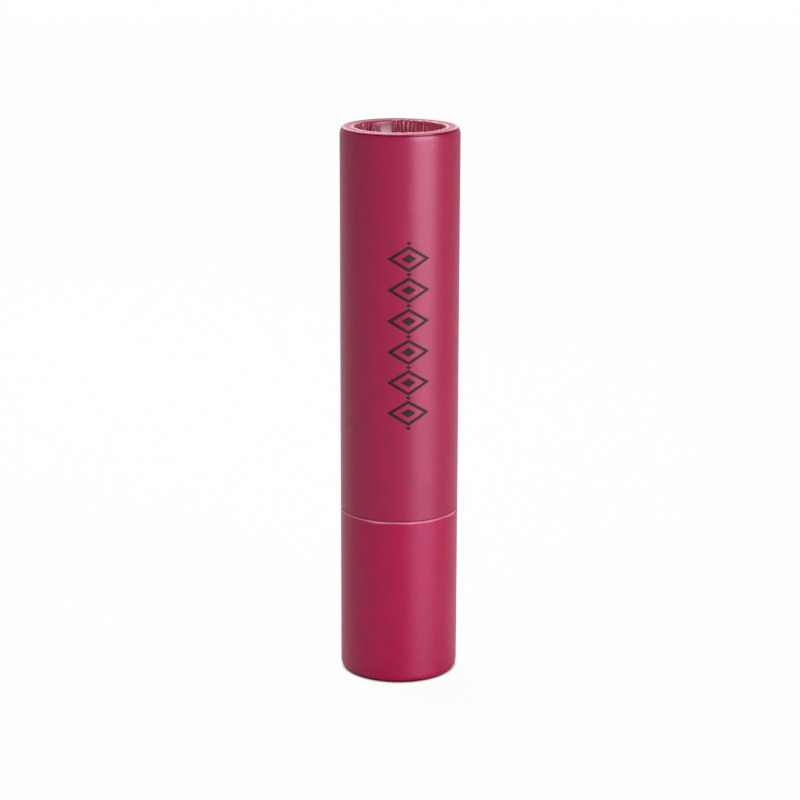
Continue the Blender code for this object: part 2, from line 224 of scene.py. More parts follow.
def apply_modifier(piece, kind, **settings):
    select_only(piece)
    modifier = piece.modifiers.new(kind.title(), kind)
    for setting, value in settings.items():
        setattr(modifier, setting, value)
    bpy.ops.object.modifier_apply(modifier=modifier.name)


def combine(piece, tool, operation):
    """Cuts a shape out of the piece or joins one to it, and takes the shape away."""
    apply_modifier(piece, "BOOLEAN", object=tool, operation=operation, solver="EXACT")
    bpy.data.objects.remove(tool, do_unlink=True)


def smooth(piece, angle=35):
    select_only(piece)
    bpy.ops.object.shade_smooth_by_angle(angle=math.radians(angle))
    print(f"{piece.name}: {len(piece.data.polygons)} faces")


def read_points(piece):
    flat = np.empty(len(piece.data.vertices) * 3)
    piece.data.vertices.foreach_get("co", flat)
    return flat.reshape(-1, 3)


def write_points(piece, points):
    piece.data.vertices.foreach_set("co", points.ravel())
    piece.data.update()


def polar(points):
    return np.hypot(points[:, 0], points[:, 1]), np.arctan2(points[:, 1], points[:, 0])


def shift_radius(points, radius, shift):
    points[:, :2] *= ((radius + shift) / np.maximum(radius, HAIR))[:, None]


def board_ripple(angle, height):
    """How far a hand-rolled board tube is out of round, in metres."""
    total = 0
    for share, count, rise, start in RIPPLE_WAVES:
        total = total + share * np.sin(count * angle + rise * height + start)
    return total * RIPPLE


def paint(piece, label, values):
    """Stores one number per point, for a finish to read."""
    piece.data.attributes.new(label, "FLOAT", "POINT").data.foreach_set("value", values)


def stand_at(piece, height, upside_down=False):
    """Puts the piece at its place on the tube, in its own points. Upside down is half a turn about X."""
    turn = Matrix.Rotation(math.pi, 4, "X") if upside_down else Matrix.Identity(4)
    piece.data.transform(Matrix.Translation((0, 0, height)) @ turn)
    return piece


def dress(piece, body, node):
    """Gives a finished piece to the body that carries it, in place of its solid."""
    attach(piece, body)
    if node:
        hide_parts(node)


# %% [markdown]
# The printed wrap. A flat sheet is rolled round the board tube with a narrow lap at the back, turned over
# the rolled rim and tucked down inside it. Going over the rim it has to fit a smaller circle, so the
# spare paper gathers into small uneven pleats, which start on the crown and deepen down the tuck. Under
# the lap the sheet is double and stiff, so there it stays smooth. Where the curling die ended, a fine
# crease runs round under the rim. The cut edge of the cap's sheet hangs a tenth of a millimetre below its
# board, over the seam. The wrap is one thin sheet here too: an open shell in the sheet's own outline,
# pleated by moving its points, and given its thickness last by Solidify.

# %% Set the wrap's sizes
LEG_RADIUS, BOARD_RADIUS = radii("cap_tube")
BOARD_BORE = radii("cap_tube", below=MOUTH + MM)[0]
ROLL_DEPTH = CAP_TOP - heights("cap_tube", inside=LEG_RADIUS)[0]
PAPER = 0.16 * MM
SHOULDER_RISE = 1.4 * MM
SHOULDER_DEPTH = 0.55 * MM
RIM_CORNER = 0.4 * MM
RIM_EDGE = WRAP_RADIUS - SHOULDER_DEPTH
CROWN_DIP = 0.12 * MM
CREASE_DEPTH = 0.05 * MM
CREASE_BELOW = 0.33 * MM
CREASE_WIDTH = 0.15 * MM
CUT_EDGE = 0.12 * MM
CAP_LIP = 0.11 * MM
TUCK_DEPTH = ROLL_DEPTH - 0.1 * MM
TUCK_RADIUS = LEG_RADIUS - PAPER - 0.15 * MM
TUCK_EDGE = TUCK_RADIUS + RIM_CORNER
LAP_STEP = 0.05 * MM
LAP_WIDTH = math.radians(30)
CAP_LAP = math.radians(115)
BASE_LAP = math.radians(72)
WRAP_COLUMNS = 540
CROWN_RINGS = 14


def shoulder(length, inset, steps):
    """The tall soft corner where the wall goes over into the rim, or one inside it by the inset."""
    centre = (RIM_EDGE, length - SHOULDER_RISE)
    return arc(centre, SHOULDER_DEPTH - inset, SHOULDER_RISE - inset, 0, 90, steps)


def crease(below):
    """1 at the bottom of the fine crease under the rim, by the distance below the top."""
    return np.exp(-(((below - CREASE_BELOW) / CREASE_WIDTH) ** 2))


def sheet_outline(length, wall_rings):
    """The sheet from its cut edge at zero, up the tube, over the crown and down the tuck."""
    shares = [ring / CROWN_RINGS for ring in range(1, CROWN_RINGS)]
    width = TUCK_EDGE - RIM_EDGE
    crown = [(RIM_EDGE + width * share, length - CROWN_DIP * math.sin(math.pi * share)) for share in shares]
    corner = []
    for radius, height in shoulder(length, inset=0, steps=20):
        pressed = CREASE_DEPTH * float(crease(length - height))
        corner.append((radius - pressed, height - pressed / 2))
    return [
        (WRAP_RADIUS - CUT_EDGE / 3, 0),
        (WRAP_RADIUS, CUT_EDGE / 2),
        *[(WRAP_RADIUS, ring * CUT_EDGE) for ring in (1, 2, 3)],
        *climb(WRAP_RADIUS, 4 * CUT_EDGE, length - SHOULDER_RISE, wall_rings)[:-1],
        *corner,
        *crown,
        *arc((TUCK_EDGE, length - RIM_CORNER), RIM_CORNER, RIM_CORNER, 90, 180, steps=7),
        *climb(TUCK_RADIUS, length - RIM_CORNER, length - TUCK_DEPTH, steps=9)[1:],
    ]


# %% [markdown]
# The pleats are not drawn one by one. Each gets a width, a height and a lean from seeded random numbers,
# and its cross-section is a rounded crest between two sharp creases. They thin out beside the lap, where
# the sheet is double. The lap itself ends in a sharp step on one side, and its last strip in the tuck gets
# a painted reflection.

# %% Shape the pleats and the lap
PLEAT_COUNT = 84
PLEAT_WIDTHS = (0.4, 1.6)
PLEAT_SIZES = (0.3, 1.0)
PLEAT_LEANS = (0.6, 1.7)
CREST_ROUNDNESS = 0.8
LAP_STIFFNESS = 60
LAP_FADE = 2.5
MARGIN_WIDTH = 0.55
MARGIN_EDGE = 12


def pleat_shape(angle, lap, seed):
    """0 in a crease and up to 1 on a crest, with uneven widths and heights, and flat across the lap."""
    rng = np.random.default_rng(seed)
    widths = rng.uniform(*PLEAT_WIDTHS, PLEAT_COUNT)
    starts = np.concatenate(([0], np.cumsum(widths))) / widths.sum()
    sizes = rng.uniform(*PLEAT_SIZES, PLEAT_COUNT)
    leans = rng.uniform(*PLEAT_LEANS, PLEAT_COUNT)
    around = ((angle - lap - LAP_WIDTH / 2) / FULL_TURN) % 1
    which = np.clip(np.searchsorted(starts, around, side="right") - 1, 0, PLEAT_COUNT - 1)
    along = (around - starts[which]) / (starts[which + 1] - starts[which])
    crest = sizes[which] * np.sin(math.pi * np.clip(along, 0, 1) ** leans[which]) ** CREST_ROUNDNESS
    free = np.clip((1 - LAP_WIDTH / FULL_TURN - around) * LAP_STIFFNESS, 0, 1)
    return crest * free


def across_lap(angle, lap):
    """0 where the overlapping strip starts and 1 where it ends."""
    return ((angle - lap + LAP_WIDTH / 2) % FULL_TURN) / LAP_WIDTH


def lap_shape(angle, lap):
    """1 on the overlapping strip, which ends in a sharp step on one side and fades out on the other."""
    across = across_lap(angle, lap)
    return np.where(across < 1, np.clip((1 - across) * LAP_FADE, 0, 1), 0)


def lap_margin(angle, lap):
    """1 on the narrow strip in the tuck beside the lap's cut edge, where a painted reflection goes."""
    across = across_lap(angle, lap)
    return np.clip(np.minimum(across, MARGIN_WIDTH - across) * MARGIN_EDGE, 0, 1)


# %% [markdown]
# Before a point moves, its place on the sheet is noted: how far below the top it is, how far down the
# tuck, and how far over the rim from outside to inside. The pleats then sway a little on their way down,
# lift the crown where a crest runs out on it, and leave the sheet's hidden edge in the tuck uneven, as if
# torn.

# %% Pleat the sheet
PLEAT_HEIGHT = 0.36 * MM
PLEAT_SWAY = 0.05
CROWN_PLEATS = 0.35
PLEAT_GROWTH = 2.2
CREST_LIFT = 0.18 * MM
CREST_LEVEL = 0.6
CROWN_SAG = 0.03 * MM
TORN_DEPTH = 0.3 * MM


def places_on_sheet(points, length, lap, seed):
    radius, angle = polar(points)
    height = points[:, 2].copy()
    below = length - height
    tuck = np.clip(below / TUCK_DEPTH, 0, 1)
    inside = np.clip((RIM_EDGE - radius) / (RIM_EDGE - TUCK_RADIUS), 0, 1)
    outside = 1 - np.clip(inside * 4, 0, 1)
    crests = pleat_shape(angle + PLEAT_SWAY * tuck * np.sin(11 * angle + seed) * inside, lap, seed)
    places = {"radius": radius, "angle": angle, "height": height, "below": below}
    return SimpleNamespace(**places, tuck=tuck, inside=inside, outside=outside, crests=crests)


def pleat(points, at, lap, seed):
    """Moves the sheet's points out of round, into pleats, and up and down on the crown and in the tuck."""
    deep = at.inside**2 * (CROWN_PLEATS + (1 - CROWN_PLEATS) * np.clip(at.tuck * PLEAT_GROWTH, 0, 1))
    shift = at.outside * (board_ripple(at.angle, at.height) + LAP_STEP * lap_shape(at.angle, lap))
    shift_radius(points, at.radius, shift - PLEAT_HEIGHT * at.crests * deep)
    on_crown = at.inside * np.clip(1 - at.below / RIM_CORNER, 0, 1)
    points[:, 2] += on_crown * at.inside * CREST_LIFT * (at.crests - CREST_LEVEL)
    points[:, 2] -= on_crown * (1 - at.inside) * CROWN_SAG * (1 - np.sin(2 * at.angle + seed))
    torn = 0.5 + 0.3 * np.sin(17 * at.angle + seed) + 0.2 * np.sin(41 * at.angle)
    points[:, 2] += at.inside * np.clip(at.tuck * 6 - 5, 0, 1) * TORN_DEPTH * torn


# %% [markdown]
# Wear, light and shade follow the shape, so the finish has to know where it is. Each point gets one number
# for each
# thing that matters: crests, where the print cracks; the tuck, which gets painted shade on one side and
# painted light on the other; the rim and its two ridges, with rubbed print and painted glints; the side where
# the crown keeps its plain print; the crease, with painted shade; and the lap's strip in the tuck, with a
# painted reflection. The base's cut edge is frayed to an uneven depth and gets a painted glint. The cap's
# isn't, but its lip gets painted shadow underneath.

# %% Paint the wear, light and shade on the sheet
RIDGE_WIDTH = 0.14 * MM
LIT_FROM_LAP = math.radians(-75)
LIT_FOCUS = 6
PLAIN_CROWN_FROM_LAP = math.radians(3)
PLAIN_CROWN_FOCUS = 2.7
LIP_RINGS = 2.2
LIP_SHADOW = 0.6
FRAY_RINGS = 2.0


def paint_wear_and_shading(wrap, at, lap, seed, bared):
    """Bared is 1 where the cut edge shows the sheet's core with a painted glint, and 0 where the lip gets
    painted shadow.
    """
    lip = (1 - bared) * np.clip(LIP_RINGS - at.height / CUT_EDGE, 0, 1)
    frayed = FRAY_RINGS - 0.5 * np.cos(8 * at.angle) + 0.3 * np.sin(13 * at.angle + seed)
    plain_crown = np.exp(PLAIN_CROWN_FOCUS * (np.cos(at.angle - lap - PLAIN_CROWN_FROM_LAP) - 1))
    outer_ridge = RIM_EDGE + RIDGE_WIDTH * (0.2 - 0.8 * np.cos(at.angle))
    ridges = [np.exp(-(((at.radius - ridge) / RIDGE_WIDTH) ** 2)) for ridge in (outer_ridge, TUCK_EDGE)]
    paint(wrap, "crest", at.crests * at.inside)
    paint(wrap, "tuck", at.inside * np.clip(at.tuck * 3, 0, 1))
    # painted light: 1 on the side of the tuck that is painted lit instead of shaded
    paint(wrap, "lit_side", (0.5 + 0.5 * np.cos(at.angle - lap - LIT_FROM_LAP)) ** LIT_FOCUS)
    # the crown keeps its plain print here, without painted reflection or glint
    paint(wrap, "plain_crown", np.clip(1.4 * plain_crown - 0.2, 0, 1))
    paint(wrap, "rim", np.clip(1 - at.below / SHOULDER_RISE, 0, 1))
    # painted shade in the crease under the rim, and painted shadow under the cap's lip
    paint(wrap, "crease", at.outside * crease(at.below) + LIP_SHADOW * lip)
    # the cut edge's pale core, which also carries a painted glint
    paint(wrap, "cut", bared * np.clip(frayed - at.height / CUT_EDGE, 0, 1))
    # the two ridges, for rubbed print and painted glints
    paint(wrap, "ridge", sum(ridges) * np.clip(2 - at.below / RIDGE_WIDTH, 0, 1))
    # the lap's strip in the tuck, for a painted reflection
    paint(wrap, "lap_reflection", lap_margin(at.angle, lap) * at.inside * np.clip(at.tuck * 2.5 - 0.5, 0, 1))


# %% Make the two wraps
def paper_wrap(name, length, wall_rings, lap, seed, bared):
    """A wrap whose cut edge is at zero and whose rolled rim is at the top."""
    wrap = turned(name, sheet_outline(length, wall_rings), WRAP_COLUMNS, ends="open")
    points = read_points(wrap)
    at = places_on_sheet(points, length, lap, seed)
    pleat(points, at, lap, seed)
    write_points(wrap, points)
    paint_wear_and_shading(wrap, at, lap, seed, bared)
    apply_modifier(wrap, "SOLIDIFY", thickness=PAPER, offset=-1, use_even_offset=True)
    return wrap


CAP_EDGE = MOUTH - CAP_LIP
cap_paper = paper_wrap("cap_paper", CAP_TOP - CAP_EDGE, wall_rings=20, lap=CAP_LAP, seed=3, bared=0.0)
base_paper = paper_wrap("base_paper", BASE_TOP - FOOT, wall_rings=10, lap=-BASE_LAP, seed=8, bared=1.0)
stand_at(cap_paper, CAP_EDGE)
stand_at(base_paper, BASE_TOP, upside_down=True)
for paper in (cap_paper, base_paper):
    smooth(paper, angle=50)
dress(cap_paper, "cap", "cap_wrap")
dress(base_paper, "base", "base_wrap")

# %% [markdown]
# The board tube under the wrap. It is wound from three plies of board, and one end is curled inwards and
# pressed flat against its own wall, which makes the thick rounded rim. All of that is in its outline: a
# hook at the top, and at the mouth a cut end where the plies show as three fine lands with grooves
# between them. The outermost ply is stained there by the print's edge, so its points are painted for the
# finish.

# %% Make the board tubes
PLIES = 3
PLY_GROOVE = 0.035 * MM
WRAP_INSET = WRAP_RADIUS - BOARD_RADIUS
BOARD = BOARD_RADIUS - BOARD_BORE
LEG_OUTER = LEG_RADIUS + BOARD
TURNED_COLUMNS = 192


def cut_end(inner, outer, plies):
    """The lands and grooves of a cut wall at zero, from inside to outside."""
    width = (outer - inner) / plies
    points = []
    for ply in range(plies):
        low, high = inner + ply * width, inner + (ply + 1) * width
        lift = PLY_GROOVE * (ply % 2) / 2
        points += [(low + PLY_GROOVE / 2, 2 * PLY_GROOVE), (low + 1.5 * PLY_GROOVE, lift)]
        points += [(high - 1.5 * PLY_GROOVE, lift)]
    return [(inner, 2.5 * PLY_GROOVE), *points, (outer, 2.5 * PLY_GROOVE)]


def board_tube(name, length):
    """A board tube whose cut end is at zero and whose curled end is at the top."""
    crown = length - WRAP_INSET
    corner = RIM_CORNER - WRAP_INSET
    bend = crown - BOARD
    leg_end = length - ROLL_DEPTH
    outline = [
        *cut_end(BOARD_BORE, BOARD_RADIUS, PLIES),
        *shoulder(length, WRAP_INSET, steps=8),
        *arc((LEG_RADIUS + corner, crown - corner), corner, corner, 90, 180, steps=4),
        (LEG_RADIUS, leg_end + PLY_GROOVE),
        (LEG_RADIUS + PLY_GROOVE, leg_end),
        (LEG_OUTER - PLY_GROOVE, leg_end),
        (LEG_OUTER, leg_end + PLY_GROOVE),
        (LEG_OUTER, bend - PLY_GROOVE),
        (LEG_OUTER + PLY_GROOVE, bend),
        (BOARD_BORE - PLY_GROOVE, bend),
        (BOARD_BORE, bend - PLY_GROOVE),
    ]
    return turned(name, outline, TURNED_COLUMNS)


cap_board = stand_at(board_tube("cap_board", CAP_TOP - MOUTH), MOUTH)
base_board = stand_at(board_tube("base_board", BASE_TOP - FOOT), BASE_TOP, upside_down=True)
for board, mouth in ((cap_board, MOUTH), (base_board, BASE_TOP)):
    points = read_points(board)
    at_mouth = np.abs(points[:, 2] - mouth) < 3 * PLY_GROOVE
    paint(board, "stain", at_mouth * (polar(points)[0] > BOARD_RADIUS - 2 * PLY_GROOVE))
    smooth(board)
dress(cap_board, "cap", "cap_tube")
dress(base_board, "base", "base_tube")

# %% [markdown]
# The end papers. The bottom of each recess is a disc of the same printed paper, drawn into a shallow pan
# with a skirt, and glued into the tube behind the curled edge. A pan is drawn from a flat round blank, so
# the skirt's spare paper crimps into regular fine flutes, and the face stands a hair hollow.

# %% Make the end papers
DISC_LOW, SKIRT_TOP = heights("base_end_disc")
SKIRT_BORE, DISC_RADIUS = radii("base_end_disc", above=SKIRT_TOP)
DISC_TOP = heights("base_end_disc", inside=SKIRT_BORE)[0]
DISC_HOLLOW = 0.08 * MM
FACE_RINGS = (0.1, 0.3, 0.5, 0.7, 0.85)
PAN_CORNER = 0.35 * MM
FLUTES = 60
FLUTE_DEPTH = 0.04 * MM
FLUTE_START = 0.3 * MM
FLUTE_LEAD = 1.0 * MM
FINE_COLUMNS = 240


def end_paper(name):
    """A drawn pan whose face is at zero and whose skirt stands up."""
    thickness = DISC_TOP - DISC_LOW
    tall = SKIRT_TOP - DISC_LOW
    outline = [
        *[(DISC_RADIUS * ring, DISC_HOLLOW * (1 - ring**2)) for ring in FACE_RINGS],
        *arc((DISC_RADIUS - PAN_CORNER, PAN_CORNER), PAN_CORNER, PAN_CORNER, -90, 0, steps=4)[:-1],
        *climb(DISC_RADIUS, PAN_CORNER, tall, steps=8),
        (SKIRT_BORE, tall),
        (SKIRT_BORE, thickness + PAN_CORNER),
        (SKIRT_BORE - PAN_CORNER, thickness),
        (DISC_RADIUS * FACE_RINGS[0], thickness),
    ]
    pan = turned(name, outline, FINE_COLUMNS, ends="poles")
    points = read_points(pan)
    radius, angle = polar(points)
    on_wall = (radius > SKIRT_BORE - HAIR) * np.clip((points[:, 2] - FLUTE_START) / FLUTE_LEAD, 0, 1)
    shift_radius(points, radius, -FLUTE_DEPTH * on_wall * np.abs(np.sin(FLUTES * angle / 2)))
    write_points(pan, points)
    return pan


cap_end_paper = stand_at(end_paper("cap_end_paper"), CAP_TOP + FOOT - DISC_LOW, upside_down=True)
base_end_paper = stand_at(end_paper("base_end_paper"), DISC_LOW)
for pan in (cap_end_paper, base_end_paper):
    smooth(pan)
dress(cap_end_paper, "cap", "cap_end_disc")
dress(base_end_paper, "base", "base_end_disc")

# %% [markdown]
# The neck. It is glued round the cam, and the cap slides over it. Thin paper tubes are wound on the
# slant, like the core of a kitchen roll, so a fine seam climbs round the outside where the strips meet.
# The seam is real here: points near a helix are pressed in a little, on rings that lie close enough
# together to hold it.

# %% Make the neck
NECK_LOW, NECK_TOP = heights("neck_tube")
NECK_BORE, NECK_RADIUS = radii("neck_tube")
NECK_PLIES = 2
NECK_END = 0.3 * MM
NECK_RINGS = 110
SEAM_CLIMB = 44 * MM
SEAM_WIDTH = 0.22 * MM
SEAM_DEPTH = 0.05 * MM
GLUE_WIDTH = 1.5 * SEAM_WIDTH

neck_end = cut_end(NECK_BORE, NECK_RADIUS, NECK_PLIES)
neck_outline = [
    *[(radius, NECK_LOW + height) for radius, height in neck_end],
    *climb(NECK_RADIUS, NECK_LOW + NECK_END, NECK_TOP - NECK_END, NECK_RINGS),
    *[(radius, NECK_TOP - height) for radius, height in reversed(neck_end)],
]
neck_paper = turned("neck_paper_tube", neck_outline, FINE_COLUMNS)
points = read_points(neck_paper)
radius, angle = polar(points)
winding = (points[:, 2] - NECK_LOW) / SEAM_CLIMB - angle / FULL_TURN
from_seam = (winding - np.round(winding)) * SEAM_CLIMB
on_outside = radius > NECK_RADIUS - HAIR
shift_radius(points, radius, -SEAM_DEPTH * on_outside * np.exp(-((from_seam / SEAM_WIDTH) ** 2)))
write_points(neck_paper, points)
paint(neck_paper, "seam", on_outside * np.exp(-((from_seam / GLUE_WIDTH) ** 2)))
smooth(neck_paper)
dress(neck_paper, "neck", "neck_tube")

# %% [markdown]
# The slotted sleeve. This moulding turns with the base: a splined foot sits in the plug, a flange carries
# the cam, and two upright slots keep the cup's lugs from turning, so they can only rise. It is turned
# from its outline with eased edges. Then one box with bevelled corners cuts both slots, because a
# moulding tool can't leave a sharp corner there, and a Boolean modifier does the cut. The splines are
# columns of points moved out. Where a measured band has to miss the wall beside it, it starts 0.2 mm off
# the sleeve or 0.3 mm off the cup.

# %% Measure the sleeve and the cup
OFF_SLEEVE = 0.2 * MM
OFF_CUP = 0.3 * MM
FOOT_LOW, SLEEVE_TOP = heights("slotted_sleeve")
SLEEVE_BORE, SLEEVE_RADIUS = radii("slotted_sleeve", above=SLEEVE_TOP)
FLANGE_RADIUS = radii("slotted_sleeve")[1]
FLANGE_LOW, FLANGE_TOP = heights("slotted_sleeve", outside=FLANGE_RADIUS)
FLOOR_TOP = heights("slotted_sleeve", outside=SLEEVE_BORE, inside=SLEEVE_BORE)[0]
FOOT_BORE, FOOT_RADIUS = radii("slotted_sleeve", below=FOOT_LOW)
BEAD_LOW = heights("slotted_sleeve", outside=SLEEVE_RADIUS + OFF_SLEEVE, above=FLOOR_TOP)[0]
BEAD_RADIUS = radii("slotted_sleeve", above=BEAD_LOW)[1]
CUP_LOW, CUP_TOP = heights("bullet_cup")
CUP_RADIUS = radii("bullet_cup", above=CUP_TOP)[1]
CUP_BORE = radii("bullet_cup", above=CUP_TOP - OFF_CUP)[0]
CUP_FLOOR = heights("bullet_cup", inside=CUP_BORE, above=CUP_LOW + OFF_CUP)[0]
LUG_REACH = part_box("bullet_cup")[1].x
LUG_LOW, LUG_HIGH = heights("bullet_cup", outside=CUP_RADIUS + OFF_CUP)
LUG_MIDDLE, LUG_RADIUS = (LUG_LOW + LUG_HIGH) / 2, (LUG_HIGH - LUG_LOW) / 2
joints = {joint["name"]: joint for joint in frame["record"]["behaviour"]["joints"]}
TRAVEL = joints["cup_rise"]["range_m"][1]
print(f"sleeve {FOOT_LOW / MM:.1f} to {SLEEVE_TOP / MM:.1f}, cup {CUP_LOW / MM:.1f} to {CUP_TOP / MM:.1f} mm")

# %% Make the sleeve
HUB = 0.5 * MM
EASE = 0.12 * MM
SPLINE_ROOT = 0.2 * MM
SPLINE_DEPTH = 0.19 * MM
SPLINE_COUNT = 12
CUP_RIB_COUNT = 4
RIB_WIDTH = math.radians(7.5)
SLOT_REACH = 2.4
SLOT_PLAY = 0.15 * MM
SLOT_CORNER = 0.3 * MM


def ribs(angle, count):
    """1 on the crests of evenly spaced ribs, and 0 between them. The first stands half a space from +X."""
    space = FULL_TURN / count
    return np.clip(1 - np.abs(angle % space - space / 2) / RIB_WIDTH, 0, 1)


foot_wall = FOOT_RADIUS - SPLINE_ROOT
sleeve_outline = [
    (HUB, FLANGE_LOW),
    (FOOT_BORE, FLANGE_LOW),
    (FOOT_BORE, FOOT_LOW),
    (foot_wall, FOOT_LOW),
    (foot_wall, FLANGE_LOW),
    (FLANGE_RADIUS, FLANGE_LOW),
    (FLANGE_RADIUS, FLANGE_TOP),
    (SLEEVE_RADIUS, FLANGE_TOP),
    (SLEEVE_RADIUS, BEAD_LOW),
    (BEAD_RADIUS, BEAD_LOW),
    (BEAD_RADIUS, (2 * BEAD_LOW + SLEEVE_TOP) / 3),
    (SLEEVE_RADIUS, SLEEVE_TOP),
    (SLEEVE_BORE, SLEEVE_TOP),
    (SLEEVE_BORE, FLOOR_TOP),
    (HUB, FLOOR_TOP),
]
sleeve = turned("sleeve_moulding", eased(sleeve_outline, EASE), TURNED_COLUMNS, ends="poles")
points = read_points(sleeve)
radius, angle = polar(points)
on_foot = (radius > foot_wall - EASE) & (points[:, 2] < FLANGE_LOW - EASE)
shift_radius(points, radius, SPLINE_DEPTH * on_foot * ribs(angle, SPLINE_COUNT))
write_points(sleeve, points)

slot_half = LUG_RADIUS + SLOT_PLAY
bpy.ops.object.select_all(action="DESELECT")
bpy.ops.mesh.primitive_cube_add(size=1, location=(0, 0, LUG_MIDDLE + TRAVEL / 2))
slot = bpy.context.object
slot.scale = (SLOT_REACH * SLEEVE_RADIUS, 2 * slot_half, TRAVEL + 2 * slot_half)
bpy.ops.object.transform_apply(location=False, rotation=False, scale=True)
apply_modifier(slot, "BEVEL", width=SLOT_CORNER, segments=4)
combine(sleeve, slot, "DIFFERENCE")
smooth(sleeve)
dress(sleeve, "base", "slotted_sleeve")

# %% [markdown]
# The cup. It holds the bullet by four ribs inside, and its two round lugs reach through the sleeve's
# slots into the tracks of the cam. Only its rim and upper wall ever show, round the foot of the raised
# bullet, so the rim's eased edge matters most. The lugs are two bevelled cylinders, joined on by a
# Boolean.

# %% Make the cup
RIB_DEPTH = 0.3 * MM
RIB_TOP = CUP_FLOOR + 6.0 * MM
RIB_LEAD = 0.8 * MM
LUG_COLUMNS = 48
LUG_EASE = 0.1 * MM

cup_outline = [
    (HUB, CUP_LOW),
    (CUP_RADIUS, CUP_LOW),
    (CUP_RADIUS, CUP_TOP),
    (CUP_BORE, CUP_TOP),
    (CUP_BORE, RIB_TOP + RIB_LEAD),
    (CUP_BORE, RIB_TOP),
    (CUP_BORE, CUP_FLOOR),
    (HUB, CUP_FLOOR),
]
cup = turned("cup_moulding", eased(cup_outline, EASE), TURNED_COLUMNS, ends="poles")
points = read_points(cup)
radius, angle = polar(points)
at_ribs = (points[:, 2] > CUP_FLOOR - HAIR) & (points[:, 2] < RIB_TOP + EASE)
on_bore = (np.abs(radius - CUP_BORE) < EASE) & at_ribs
shift_radius(points, radius, -RIB_DEPTH * on_bore * ribs(angle, CUP_RIB_COUNT))
write_points(cup, points)
lug_root = (CUP_BORE + CUP_RADIUS) / 2
for side in (-1, 1):
    bpy.ops.object.select_all(action="DESELECT")
    bpy.ops.mesh.primitive_cylinder_add(
        vertices=LUG_COLUMNS,
        radius=LUG_RADIUS,
        depth=LUG_REACH - lug_root,
        location=(side * (lug_root + LUG_REACH) / 2, 0, LUG_MIDDLE),
        rotation=(0, math.pi / 2, 0),
    )
    lug = bpy.context.object
    apply_modifier(lug, "BEVEL", width=LUG_EASE, segments=3, limit_method="ANGLE")
    combine(cup, lug, "UNION")
smooth(cup)
dress(cup, "cup", "bullet_cup")

# %% [markdown]
# The bullet. Pomade is cast in a mould with a domed end, and the slanted face is part of the same mould,
# so its edge is soft. A cut with a plane would leave slivers where it meets the dome. So the bullet is
# turned with a flat end, and its points are then drawn down to the lower of two surfaces, the dome and
# the slanted plane, with a rounded blend between them. The wall's rings share the way out evenly. Low
# down, four grooves fit the cup's ribs.

# %% Make the bullet
BULLET_LOW = heights("lipstick_bullet")[0]
BULLET_RADIUS = radii("lipstick_bullet")[1]
BULLET_LENGTH = 34 * MM
DOME = 3.4 * MM
SLANT = math.radians(50)
SLANT_OFFSET = 2.2 * MM
SLANT_EASE = 0.5 * MM
SLANT_BLEND = 0.7 * MM
SLANT_SWELL = 0.12 * MM
BULLET_EASE = 0.2 * MM
BULLET_COLUMNS = 256
END_RINGS = 40

bullet_top = BULLET_LOW + BULLET_LENGTH
groove_top = RIB_TOP + RIB_LEAD
wall_start = groove_top + RIB_LEAD


def bullet_end(points):
    """How high the moulded end reaches over or under each point."""
    radius = np.minimum(polar(points)[0], BULLET_RADIUS)
    dome = bullet_top - DOME * (1 - np.sqrt(1 - (radius / BULLET_RADIUS) ** 2))
    edge = np.clip((radius - BULLET_RADIUS) / SLANT_EASE + 1, 0, 1)
    slant = bullet_top + (points[:, 1] - SLANT_OFFSET) * math.tan(SLANT)
    slant += SLANT_SWELL * (1 - (radius / BULLET_RADIUS) ** 2) - SLANT_EASE * (1 - np.sqrt(1 - edge**2))
    near = np.clip(1 - np.abs(dome - slant) / SLANT_BLEND, 0, 1)
    return np.minimum(dome, slant) - SLANT_BLEND / 4 * near**2


face_radius = BULLET_RADIUS - SLANT_EASE
bullet_outline = [
    (HUB, BULLET_LOW),
    (BULLET_RADIUS - BULLET_EASE, BULLET_LOW),
    *climb(BULLET_RADIUS, BULLET_LOW + BULLET_EASE, groove_top, steps=4),
    *climb(BULLET_RADIUS, wall_start, bullet_top, steps=24),
    *arc((face_radius, bullet_top), SLANT_EASE, 0, 9, 90, steps=9),
    *[(face_radius * (1 - ring / END_RINGS), bullet_top) for ring in range(1, END_RINGS - 1)],
]
bullet = turned("pomade_bullet", bullet_outline, BULLET_COLUMNS, ends="poles")
points = read_points(bullet)
radius, angle = polar(points)
in_cup = (radius > BULLET_RADIUS - BULLET_EASE - HAIR) & (points[:, 2] < groove_top + HAIR)
shift_radius(points, radius, -RIB_DEPTH * in_cup * ribs(angle, CUP_RIB_COUNT))
share = np.clip((points[:, 2] - wall_start) / (bullet_top - wall_start), 0, 1)
points[:, 2] += share * (bullet_end(points) - bullet_top)
write_points(bullet, points)
smooth(bullet, angle=50)
dress(bullet, "cup", "lipstick_bullet")

# %% [markdown]
# The print on the cap. Hot-foiled or screen-printed decoration lies on the paper as a film far thinner
# than a hair. The motif is a plain chain of lozenges. It is drawn flat, as on the sheet before it is
# rolled: a circle with four corners is stretched, inset and emptied to make a ring, and a small full one
# is its heart. Copies stand in a row, and then all points are rolled round the tube, along the board's
# ripple, like the sheet itself.

# %% Draw one lozenge
INK = 0.015 * MM
PRINT_AZIMUTH = math.radians(8.6)
PRINT_LOW, PRINT_HIGH = 45.2 * MM, 76.4 * MM
LOZENGE_COUNT = 6
LOZENGE_SPACE = (PRINT_HIGH - PRINT_LOW) / LOZENGE_COUNT
RING_HALF = (3.6 * MM, 2.2 * MM)
RING_LINE = 0.5 * MM
HEART_HALF = (1.25 * MM, 0.76 * MM)
BEAD_HALF = (0.5 * MM, 0.32 * MM)


